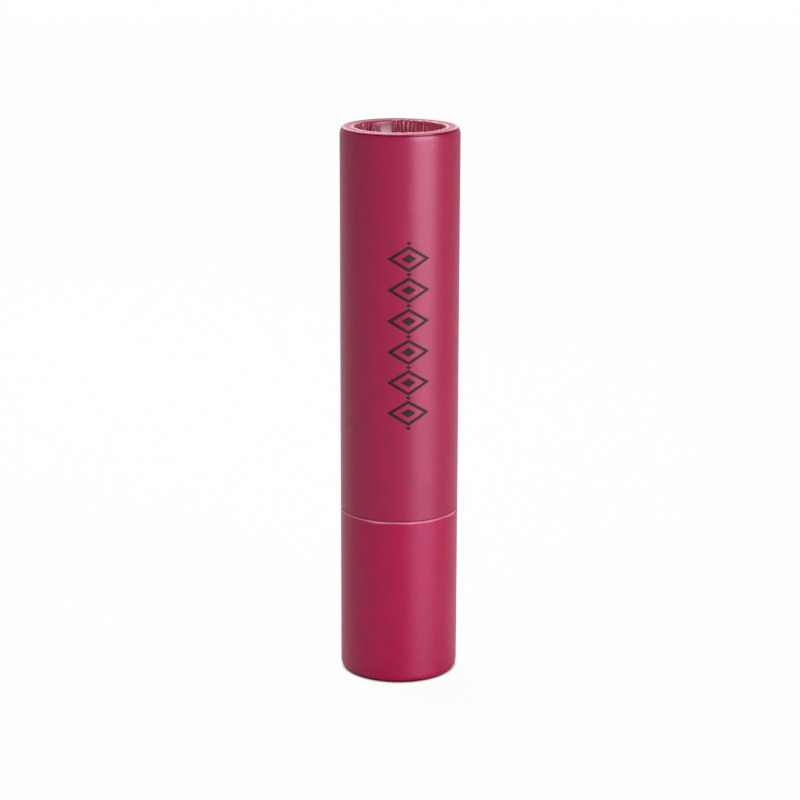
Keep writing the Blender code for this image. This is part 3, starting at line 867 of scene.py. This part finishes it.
def lozenge(half_width, half_height, middle, line=None):
    """A flat lozenge about a height, full or as a ring, cut up finely enough to be rolled."""
    bpy.ops.object.select_all(action="DESELECT")
    bpy.ops.mesh.primitive_circle_add(vertices=4, radius=1, fill_type="NGON", location=(0, 0, 0))
    piece = bpy.context.object
    bpy.ops.object.mode_set(mode="EDIT")
    bpy.ops.mesh.select_all(action="SELECT")
    bpy.ops.transform.resize(value=(half_width, half_height, 1), center_override=(0, 0, 0))
    if line:
        bpy.ops.mesh.inset(thickness=line)
        bpy.ops.mesh.delete(type="FACE")
        bpy.ops.mesh.select_all(action="SELECT")
    bpy.ops.mesh.subdivide(number_cuts=7)
    bpy.ops.transform.translate(value=(0, middle, 0))
    bpy.ops.object.mode_set(mode="OBJECT")
    return piece


# %% Repeat it and roll the print round the cap
prints = []
for number in range(LOZENGE_COUNT):
    middle = PRINT_LOW + (number + 0.5) * LOZENGE_SPACE
    prints.append(lozenge(*RING_HALF, middle, RING_LINE))
    prints.append(lozenge(*HEART_HALF, middle))
for number in range(LOZENGE_COUNT + 1):
    prints.append(lozenge(*BEAD_HALF, PRINT_LOW + number * LOZENGE_SPACE))
bpy.ops.object.select_all(action="DESELECT")
for piece in prints:
    piece.select_set(True)
bpy.context.view_layer.objects.active = prints[0]
bpy.ops.object.join()
cap_print = bpy.context.object
cap_print.name = cap_print.data.name = "cap_print"
points = read_points(cap_print)
around = points[:, 0] / WRAP_RADIUS + PRINT_AZIMUTH - math.pi / 2
height = points[:, 1].copy()
reach = WRAP_RADIUS + board_ripple(around, height - CAP_EDGE) + INK
write_points(cap_print, np.column_stack((reach * np.cos(around), reach * np.sin(around), height)))
apply_modifier(cap_print, "SOLIDIFY", thickness=INK, offset=1)
smooth(cap_print)
dress(cap_print, "cap", None)

# %% [markdown]
# Finishes are built from nodes. A few helpers keep that short: one starts a material and sets whatever is
# the same all over on the shader's own sockets, one adds a node and wires it, and the others give noise
# in real sizes, a remapped number, a blend of two colours, or a number that was painted on the points.
# Noise is written in bumps per millimetre, and nearly all of its values lie in the span that is named
# here.

# %% Build with nodes
NOISE_SPAN = (0.3, 0.7)


def new_finish(name, even):
    material = bpy.data.materials.new(name)
    material.use_nodes = True
    shader = material.node_tree.nodes["Principled BSDF"]
    for socket, value in even.items():
        shader.inputs[socket].default_value = value
    return material, material.node_tree, shader


def add(tree, kind, inputs, **settings):
    node = tree.nodes.new("ShaderNode" + kind)
    for setting, value in settings.items():
        setattr(node, setting, value)
    for socket, value in inputs.items():
        if isinstance(value, bpy.types.NodeSocket):
            tree.links.new(value, node.inputs[socket])
        else:
            node.inputs[socket].default_value = value
    return node


def calc(tree, operation, first, second=0.0):
    return add(tree, "Math", {0: first, 1: second}, operation=operation).outputs[0]


def times(tree, first, second):
    return calc(tree, "MULTIPLY", first, second)


def most(tree, first, second):
    return calc(tree, "MAXIMUM", first, second)


def noise(tree, per_mm, detail=2.0, stretch=(1, 1, 1)):
    where = add(tree, "TexCoord", {}).outputs["Object"]
    placed = add(tree, "Mapping", {"Vector": where, "Scale": stretch}).outputs[0]
    return add(tree, "TexNoise", {"Vector": placed, "Scale": per_mm / MM, "Detail": detail}).outputs[0]


def remap(tree, value, low, high, first=0.0, last=1.0):
    spans = {"Value": value, "From Min": low, "From Max": high, "To Min": first, "To Max": last}
    return add(tree, "MapRange", spans).outputs[0]


def blend(tree, share, first, second):
    return add(tree, "Mix", {0: share, 6: first, 7: second}, data_type="RGBA").outputs[2]


def layer(tree, name):
    return add(tree, "Attribute", {}, attribute_name=name).outputs["Fac"]


def emboss(tree, shader, height, depth, below=None):
    """Bump of a real depth in metres, on top of another if there is one."""
    inputs = {"Height": height, "Distance": depth}
    if below:
        inputs["Normal"] = below
    raised = add(tree, "Bump", inputs).outputs[0]
    tree.links.new(raised, shader.inputs["Normal"])
    return raised


def shade(colour, factor):
    return (*[channel * factor for channel in colour[:3]], 1)


def wear(pieces, material):
    for piece in pieces:
        piece.data.materials.clear()
        piece.data.materials.append(material)
        print(f"{piece.name}: {material.name}")


# %% [markdown]
# The printed paper: a white sheet with a full magenta print and a satin film. The film gives a soft
# highlight that is longer than it is wide, because the sheet's grain runs up the tube, which Anisotropic
# stands for. The end papers lie across the tube and get none. The colour drifts a little with the sheet's
# cloudy formation. The two sheets are not from one batch: the base is a shade purer. The tuck gets painted
# shade on one side and painted light on the other. The crease under the rim and the cap's lip get painted
# shade, and the foot gets painted shade with grime.

# %% Mix the print's colour with its painted shade and light
PAPER_CORE = (0.97, 0.66, 0.72, 1)
CAP_PRINT = (0.35, 0.0015, 0.048)
BASE_PRINT = (0.378, 0.0005, 0.046)
CAP_SHEEN = (0.75, 0.80, 1.0, 1)
BASE_SHEEN = (0.85, 0.62, 1.0, 1)
# painted shade in the tuck, and painted light on its lit side
TUCK_SHADE = (0.20, 0.008, 0.04, 1)
TUCK_LIT = (0.90, 0.13, 0.24, 1)
# the crown's pale tint: a painted reflection over stretched and rubbed print
CROWN_TINT = (1.0, 0.50, 0.60, 1)
# the cut edge's core with a painted glint, also the board's stain
CUT_TINT = (0.95, 0.27, 0.44, 1)
# painted shade at the foot, with grime
FOOT_SHADE_AND_GRIME = (0.07, 0.002, 0.02, 1)
CLOUD_SHADES = (0.93, 1.06)
TUCK_SHARE = 0.7
# painted shade in the crease and under the cap's lip
CREASE_SHARE = 0.55
CREASE_SHADE = 0.2
FOOT_SHADE_SPAN = (0.6, 0.97)


def print_colour(tree, colour, foot_shade_and_grime):
    """The print before it is rubbed off, with painted shade and light in the tuck, and painted shade in the
    crease, under the lip and at the foot, where there is grime as well.
    """
    cloud = noise(tree, per_mm=0.3, detail=4)
    light, dark = shade(colour, CLOUD_SHADES[1]), shade(colour, CLOUD_SHADES[0])
    body = blend(tree, remap(tree, cloud, *NOISE_SPAN), dark, light)
    # painted shade in the tuck, turning to painted light on one side
    tuck_shading = blend(tree, layer(tree, "lit_side"), TUCK_SHADE, TUCK_LIT)
    body = blend(tree, times(tree, layer(tree, "tuck"), TUCK_SHARE), body, tuck_shading)
    # painted shade in the crease and under the cap's lip
    body = blend(tree, times(tree, layer(tree, "crease"), CREASE_SHARE), body, shade(colour, CREASE_SHADE))
    # painted shade round the foot, with grime
    shaded_foot = times(tree, remap(tree, layer(tree, "rim"), *FOOT_SHADE_SPAN), foot_shade_and_grime)
    return blend(tree, shaded_foot, body, FOOT_SHADE_AND_GRIME)


# %% [markdown]
# Over the rim the curling die has stretched the print, and handling has rubbed its ridges in patches. The
# crown also gets a painted reflection, and its ridges get painted glints, so it is pale, except beside the
# lap. Crests on the tuck's painted-light side are cracked, and that side is painted paler as well. The lap's
# strip in the tuck gets a painted reflection, and the base's cut edge is frayed to its pink core and gets a
# painted glint. Each kind of wear and painted light is a share from 0 to 1, a painted number times some
# noise.

# %% Wear the print off and paint pale light on it
CROWN_SPAN = (0.93, 1.0)
STRETCHED_AND_REFLECTION_SHARES = (0.6, 0.9)
PATCH_SPAN = (0.35, 0.6)
PATCH_SHARES = (0.6, 1.0)
RUBBED_AND_GLINT_SHARES = (0.5, 1.0)
PLAIN_CROWN_SHARE = 0.05
SPECK_SPAN = (0.48, 0.72)
CREST_SPAN = (0.1, 1.0)
CRACKED_SHARES = (0.05, 0.30)
LIT_CORE_SHARE = 0.04
LAP_REFLECTION_SHARES = (0.65, 1.0)
FRAY_SPAN = (0.35, 0.65)
FRAY_SHARES = (0.7, 1.0)


def pale_crown(tree, fibre, ridge_wear_and_glint):
    """How pale the crown is: its stretched and rubbed print, a painted reflection, and painted glints on its
    ridges.
    """
    speckled = remap(tree, fibre, *NOISE_SPAN, *STRETCHED_AND_REFLECTION_SHARES)
    stretched_and_reflection = times(tree, remap(tree, layer(tree, "rim"), *CROWN_SPAN), speckled)
    patches = remap(tree, noise(tree, per_mm=0.7, detail=3), *PATCH_SPAN, *PATCH_SHARES)
    patchy = times(tree, patches, remap(tree, fibre, *NOISE_SPAN, *RUBBED_AND_GLINT_SHARES))
    # painted glints on the ridges, in rubbed patches
    rubbed_and_glint = times(tree, layer(tree, "ridge"), patchy)
    wear_and_glint = remap(tree, layer(tree, "plain_crown"), 0.0, 1.0, ridge_wear_and_glint, PLAIN_CROWN_SHARE * ridge_wear_and_glint)
    return times(tree, calc(tree, "ADD", stretched_and_reflection, rubbed_and_glint), wear_and_glint)


def pale_tuck(tree, fibre):
    """How pale the tuck is: cracked crests, painted light on one side, and a painted reflection on the lap's
    strip.
    """
    specks = remap(tree, noise(tree, per_mm=6, detail=3), *SPECK_SPAN)
    cracked = times(tree, remap(tree, layer(tree, "crest"), *CREST_SPAN, *CRACKED_SHARES), specks)
    in_lit_side = times(tree, layer(tree, "tuck"), layer(tree, "lit_side"))
    # painted light: the lit side of the tuck is paler even without cracks
    in_tuck = times(tree, in_lit_side, calc(tree, "ADD", cracked, LIT_CORE_SHARE))
    # painted reflection on the lap's strip
    lap_reflection = times(tree, layer(tree, "lap_reflection"), remap(tree, fibre, *NOISE_SPAN, *LAP_REFLECTION_SHARES))
    return most(tree, in_tuck, lap_reflection)


def pale_cut_edge(tree, fibre):
    """How far the core shows at the cut edge, with a painted glint on it."""
    return times(tree, layer(tree, "cut"), remap(tree, fibre, *FRAY_SPAN, *FRAY_SHARES))


# %% [markdown]
# The film's gloss is the last part. It is burnished over the rim, dull wherever the paper is painted pale,
# and almost gone in the crease and on the cut edge. Its surface is embossed three times over: slow waves of
# the board below, the crinkles of the tuck, and the fibres.

# %% Put the printed paper together
FILM_SPAN = (0.4, 1.0)
FILM_ROUGH = (0.42, 0.22)
UNEVEN_ROUGH = (-0.03, 0.03)
FILM_SHINE = (0.5, 0.06)
PALE_ROUGH = 0.25
WAVE_DEPTH = 0.02 * MM
CRINKLE_DEPTH = 0.12 * MM
FIBRE_DEPTH = 0.004 * MM


def printed_paper(name, colour, sheen, grain=0.0, ridge_wear_and_glint=0.0, foot_shade_and_grime=0.0):
    even = {"Specular Tint": sheen, "Anisotropic": grain, "Anisotropic Rotation": 0.25}
    material, tree, shader = new_finish(name, even)
    fibre = noise(tree, per_mm=4.5, detail=3, stretch=(1, 1, 0.4))
    crown = pale_crown(tree, fibre, ridge_wear_and_glint)
    tuck = pale_tuck(tree, fibre)
    cut_core_and_glint = pale_cut_edge(tree, fibre)
    body = print_colour(tree, colour, foot_shade_and_grime)
    # painted reflection and glints on the crown, over its stretched and rubbed print
    body = blend(tree, calc(tree, "MINIMUM", crown, 1.0), body, CROWN_TINT)
    # cracked crests, painted light and the lap's painted reflection in the tuck
    body = blend(tree, tuck, body, PAPER_CORE)
    # the cut edge's core with its painted glint
    tree.links.new(blend(tree, cut_core_and_glint, body, CUT_TINT), shader.inputs["Base Color"])
    dull = most(tree, layer(tree, "crease"), layer(tree, "cut"))
    tree.links.new(remap(tree, dull, 0.0, 1.0, *FILM_SHINE), shader.inputs["Specular IOR Level"])
    film = remap(tree, layer(tree, "rim"), *FILM_SPAN, *FILM_ROUGH)
    uneven = remap(tree, noise(tree, per_mm=0.8, detail=3), *NOISE_SPAN, *UNEVEN_ROUGH)
    pale_parts = times(tree, most(tree, most(tree, tuck, crown), cut_core_and_glint), PALE_ROUGH)
    rough = calc(tree, "ADD", calc(tree, "ADD", film, uneven), pale_parts)
    tree.links.new(rough, shader.inputs["Roughness"])
    waves = emboss(tree, shader, noise(tree, per_mm=0.5, detail=2), WAVE_DEPTH)
    crinkles = times(tree, noise(tree, per_mm=3.8, detail=3), layer(tree, "tuck"))
    crinkled = emboss(tree, shader, crinkles, CRINKLE_DEPTH, waves)
    emboss(tree, shader, fibre, FIBRE_DEPTH, crinkled)
    return material


wear([cap_paper], printed_paper("cap_printed_paper", CAP_PRINT, CAP_SHEEN, grain=0.6, ridge_wear_and_glint=0.85))
wear([base_paper], printed_paper("base_printed_paper", BASE_PRINT, BASE_SHEEN, grain=0.6, foot_shade_and_grime=0.75))
wear([cap_end_paper], printed_paper("cap_disc_paper", CAP_PRINT, CAP_SHEEN))
wear([base_end_paper], printed_paper("base_disc_paper", BASE_PRINT, BASE_SHEEN))

# %% [markdown]
# The ink of the chain: a near-black plum, duller than the film around it, with pinholes where it has not
# quite covered and the print shows through.

# %% Make the ink
INK_COLOUR = (0.022, 0.004, 0.011)
PINHOLE_COLOUR = (0.07, 0.004, 0.02, 1)
PINHOLE_SPAN = (0.68, 0.74)


def ink_finish():
    material, tree, shader = new_finish("plum_ink", {"Specular IOR Level": 0.22})
    pinholes = remap(tree, noise(tree, per_mm=9, detail=2), *PINHOLE_SPAN)
    tree.links.new(blend(tree, pinholes, shade(INK_COLOUR, 1), PINHOLE_COLOUR), shader.inputs["Base Color"])
    rough = remap(tree, noise(tree, per_mm=3, detail=3), *NOISE_SPAN, first=0.42, last=0.55)
    tree.links.new(rough, shader.inputs["Roughness"])
    emboss(tree, shader, noise(tree, per_mm=8), depth=0.002 * MM)
    return material


wear([cap_print], ink_finish())

# %% [markdown]
# Board and neck paper. The board is bleached and bare, so fibres and small dark specks show. At the cut
# end its outermost ply has taken pink from the print, which was painted as a stain. The neck is smoother,
# wound from calendered strips. Its seam is painted on the points too, and is a touch darker with the glue
# under it.

# %% Make the board and the neck paper
BOARD_COLOUR = (0.78, 0.70, 0.66)
NECK_COLOUR = (0.80, 0.76, 0.70)
ROUGH_SPREAD = 0.06
FLECK_SPAN = (0.74, 0.8)
FLECK_SHADE = 0.45
GLUE_SHADE = 0.5


def bare_paper(name, colour, rough, fibre_depth, clouds, marked, mark_share, mark_colour):
    """Uncoated paper with one painted mark on it, such as a seam or a stain."""
    material, tree, shader = new_finish(name, {"Specular IOR Level": 0.25, "Sheen Weight": 0.15})
    fibre = noise(tree, per_mm=3.5, detail=5, stretch=(1, 1, 0.3))
    cloud = remap(tree, noise(tree, per_mm=0.5, detail=3), *NOISE_SPAN)
    body = blend(tree, cloud, shade(colour, 1 - clouds), shade(colour, 1 + clouds / 2))
    fleck = remap(tree, noise(tree, per_mm=2.2, detail=1, stretch=(1, 1, 0.5)), *FLECK_SPAN, last=0.5)
    body = blend(tree, fleck, body, shade(colour, FLECK_SHADE))
    body = blend(tree, times(tree, layer(tree, marked), mark_share), body, mark_colour)
    tree.links.new(body, shader.inputs["Base Color"])
    uneven = remap(tree, fibre, *NOISE_SPAN, rough - ROUGH_SPREAD, rough + ROUGH_SPREAD)
    tree.links.new(uneven, shader.inputs["Roughness"])
    emboss(tree, shader, fibre, fibre_depth)
    return material


board_finish = bare_paper(
    "bare_board",
    BOARD_COLOUR,
    rough=0.88,
    fibre_depth=0.02 * MM,
    clouds=0.08,
    marked="stain",
    mark_share=0.85,
    mark_colour=CUT_TINT,
)
neck_finish = bare_paper(
    "neck_paper_finish",
    NECK_COLOUR,
    rough=0.7,
    fibre_depth=0.008 * MM,
    clouds=0.025,
    marked="seam",
    mark_share=0.6,
    mark_colour=shade(NECK_COLOUR, GLUE_SHADE),
)
wear([cap_board, base_board], board_finish)
wear([neck_paper], neck_finish)

# %% [markdown]
# The mouldings are white polypropylene: light goes a little way in, which softens the edges, and the tool
# has left a fine spark-eroded grain with faint flow marks. The two solids that keep their own mesh get it
# as well. The brake ring is soft black rubber with a bloom of pale dust.

# %% Make the plastic and the rubber
PLASTIC = (0.82, 0.81, 0.78)
PLASTIC_SCATTER = (1.0, 0.9, 0.8)
FLOW_SPAN = (0.35, 0.65)
RUBBER = (0.03, 0.03, 0.032)
DUST = (0.2, 0.19, 0.18, 1)
DUST_SPAN = (0.5, 0.8)
MOST_DUST = 0.35


def moulded_plastic():
    even = {"Subsurface Weight": 0.25, "Subsurface Radius": PLASTIC_SCATTER, "Subsurface Scale": 0.4 * MM}
    material, tree, shader = new_finish("moulded_plastic", even)
    flow = noise(tree, per_mm=0.25, detail=2, stretch=(1, 1, 0.35))
    grain = noise(tree, per_mm=9, detail=2)
    body = blend(tree, remap(tree, flow, *FLOW_SPAN), shade(PLASTIC, 0.96), shade(PLASTIC, 1.03))
    tree.links.new(body, shader.inputs["Base Color"])
    tree.links.new(remap(tree, flow, *NOISE_SPAN, first=0.3, last=0.42), shader.inputs["Roughness"])
    emboss(tree, shader, grain, depth=0.003 * MM)
    return material


def brake_rubber():
    material, tree, shader = new_finish("soft_rubber", {"Specular IOR Level": 0.35})
    dust = remap(tree, noise(tree, per_mm=1.5, detail=5), *DUST_SPAN, last=MOST_DUST)
    tree.links.new(blend(tree, dust, shade(RUBBER, 1), DUST), shader.inputs["Base Color"])
    tree.links.new(remap(tree, dust, 0.0, MOST_DUST, first=0.55, last=0.85), shader.inputs["Roughness"])
    emboss(tree, shader, noise(tree, per_mm=7, detail=3), depth=0.006 * MM)
    return material


plug, cam, ring = (frame["nodes"][node] for node in ("base_plug", "cam_sleeve", "brake_ring"))
wear([sleeve, cup, plug, cam], moulded_plastic())
wear([ring], brake_rubber())

# %% [markdown]
# The pomade: pigment in wax and oil. It is satin rather than shiny, lets a little light in, and carries
# the mould's fine upright drag lines, a few pits, and slow clouds where wax has set before oil.

# %% Make the pomade
POMADE = (0.27, 0.033, 0.018)
POMADE_FINISH = {
    "Subsurface Weight": 0.3,
    "Subsurface Radius": (1.0, 0.35, 0.2),
    "Subsurface Scale": 0.6 * MM,
    "Coat Weight": 0.12,
    "Coat Roughness": 0.25,
}
PIT_SPAN = (0.76, 0.8)


def pomade_finish():
    material, tree, shader = new_finish("brick_red_pomade", POMADE_FINISH)
    drag = noise(tree, per_mm=3, detail=2, stretch=(1, 1, 0.05))
    cloud = noise(tree, per_mm=0.4, detail=4)
    pits = remap(tree, noise(tree, per_mm=1.8, detail=1), *PIT_SPAN)
    body = blend(tree, remap(tree, cloud, *NOISE_SPAN), shade(POMADE, 0.9), shade(POMADE, 1.1))
    # painted shade darkens the pits
    body = blend(tree, times(tree, pits, 0.5), body, shade(POMADE, 0.5))
    tree.links.new(body, shader.inputs["Base Color"])
    tree.links.new(remap(tree, cloud, *NOISE_SPAN, first=0.3, last=0.42), shader.inputs["Roughness"])
    lines = emboss(tree, shader, drag, depth=0.012 * MM)
    emboss(tree, shader, calc(tree, "SUBTRACT", 1.0, pits), depth=0.02 * MM, below=lines)
    return material


wear([bullet], pomade_finish())

# %% [markdown]
# The studio. In the photograph a soft key at the right front leaves the tube darker on its left, and a
# tall box beside it draws the one long highlight, which brightens where the shoulder tilts up to it. Here
# the key stands low, so that the walls get most of its light and the crown little. The box is a card that
# only glosses see, so the highlight can be placed without changing the shading. It hangs higher than what
# the walls mirror, so only the film's wide gloss catches it, and its edges stay soft. A small light high
# behind lights up the crown.
#
# The floor is a pale board. So that it reads as the white background, it glows for camera, glossy and
# transmission rays only: the glow puts no light on the tube, and the shadow stays. Round the foot it
# doesn't glow, so the contact stays dark, and only far off does it glow in full. The world does the same,
# is always white to the camera, and dims towards the ceiling for the rest. In glosses both are bright in
# front and dim at the sides, as if dark screens stood there, which keeps the colour deep.

# %% Set the studio's values
KEY_AZIMUTH = math.radians(40)
KEY_ELEVATION = math.radians(12)
KEY_DISTANCE = 0.9
KEY_SIZE = 0.45
KEY_POWER = 5.25
CARD_AZIMUTH = math.radians(49)
CARD_DISTANCE = 0.60
CARD_WIDTH = 0.48
CARD_HEIGHT = 0.70
CARD_MIDDLE = 0.39
CARD_POWER = 11.0
BACK_AZIMUTH = math.radians(-152)
BACK_ELEVATION = math.radians(60)
BACK_DISTANCE = 0.6
BACK_SIZE = 0.35
BACK_POWER = 3.5
FILL_STRENGTH = 0.475
CEILING_STRENGTH = 0.4
CEILING_SPAN = (0.35, 0.75)
GLOSS_SHARES = (0.85, 0.05)
FLOOR_DEPTHS = (-0.25, 0.0)
WORLD_SIDES = (0.25, 0.7)
FLOOR_SIZE = 8
FLOOR_COLOUR = 0.75
FLOOR_GLOW_SHARE = 0.96
CONTACT_RING = (9.5 * MM, 10.2 * MM)
FAR_FLOOR = (0.3, 1.5)


# %% Build the floor, the lights and the world
def seen_rays(tree, gloss):
    """1 for rays that look straight at the background, and a share for those that see it in a gloss."""
    path = add(tree, "LightPath", {})
    in_gloss = times(tree, path.outputs["Is Glossy Ray"], gloss)
    seen = most(tree, path.outputs["Is Camera Ray"], in_gloss)
    return most(tree, seen, path.outputs["Is Transmission Ray"])


def floor_finish():
    even = {"Base Color": (FLOOR_COLOUR,) * 3 + (1,), "Roughness": 0.95, "Specular IOR Level": 0.1}
    material, tree, shader = new_finish("pale_floor", even)
    where = add(tree, "TexCoord", {}).outputs["Object"]
    away = add(tree, "VectorMath", {0: where}, operation="LENGTH").outputs["Value"]
    near = remap(tree, away, *CONTACT_RING, 0.0, FLOOR_GLOW_SHARE)
    clear = calc(tree, "ADD", near, remap(tree, away, *FAR_FLOOR, 0.0, 1 - FLOOR_GLOW_SHARE))
    glow = add(tree, "Emission", {}).outputs[0]
    depth = add(tree, "SeparateXYZ", {0: where}).outputs["Y"]
    in_gloss = remap(tree, depth, *FLOOR_DEPTHS, *GLOSS_SHARES)
    share = times(tree, seen_rays(tree, in_gloss), clear)
    mix = add(tree, "MixShader", {0: share, 1: shader.outputs[0], 2: glow}).outputs[0]
    tree.links.new(mix, tree.nodes["Material Output"].inputs["Surface"])
    return material


def area_light(name, azimuth, elevation, distance, size, power, aim):
    """An area light that faces a height on the axis. Azimuth 0 is the camera's side, 90 degrees the right."""
    data = bpy.data.lights.new(name, "AREA")
    data.shape = "RECTANGLE"
    data.size, data.size_y = size
    data.energy = power
    light = bpy.data.objects.new(name, data)
    level = math.cos(elevation)
    side = Vector((math.sin(azimuth) * level, -math.cos(azimuth) * level, math.sin(elevation)))
    light.location = side * distance + Vector((0, 0, aim))
    light.rotation_euler = side.to_track_quat("Z", "Y").to_euler()
    light.visible_camera = False
    bpy.context.scene.collection.objects.link(light)
    return light


def studio_world():
    world = bpy.data.worlds.new("studio")
    world.use_nodes = True
    tree = world.node_tree
    background = tree.nodes["Background"]
    background.inputs["Color"].default_value = (1, 1, 1, 1)
    direction = add(tree, "TexCoord", {}).outputs["Generated"]
    parts = add(tree, "SeparateXYZ", {0: direction}).outputs
    dim = remap(tree, parts["Z"], *CEILING_SPAN, 1.0, CEILING_STRENGTH)
    in_gloss = remap(tree, calc(tree, "ABSOLUTE", parts["X"]), *WORLD_SIDES, *GLOSS_SHARES)
    share = add(tree, "Mix", {0: seen_rays(tree, in_gloss), 2: FILL_STRENGTH, 3: 1.0}).outputs[0]
    straight = add(tree, "LightPath", {}).outputs["Is Camera Ray"]
    tree.links.new(most(tree, times(tree, share, dim), straight), background.inputs["Strength"])
    return world


bpy.ops.object.select_all(action="DESELECT")
bpy.ops.mesh.primitive_plane_add(size=FLOOR_SIZE, location=(0, 0, FOOT))
floor = bpy.context.object
floor.name = "floor"
floor.data.materials.append(floor_finish())
tube_middle = (FOOT + CAP_TOP) / 2
key_size = (KEY_SIZE, KEY_SIZE)
key = area_light("key", KEY_AZIMUTH, KEY_ELEVATION, KEY_DISTANCE, key_size, KEY_POWER, tube_middle)
key.visible_glossy = False
card_size = (CARD_WIDTH, CARD_HEIGHT)
card = area_light("card", CARD_AZIMUTH, 0, CARD_DISTANCE, card_size, CARD_POWER, CARD_MIDDLE)
card.visible_diffuse = False
back_size = (BACK_SIZE, BACK_SIZE)
area_light("back", BACK_AZIMUTH, BACK_ELEVATION, BACK_DISTANCE, back_size, BACK_POWER, CAP_TOP)
bpy.context.scene.world = studio_world()
bpy.context.scene.view_settings.view_transform = "Standard"
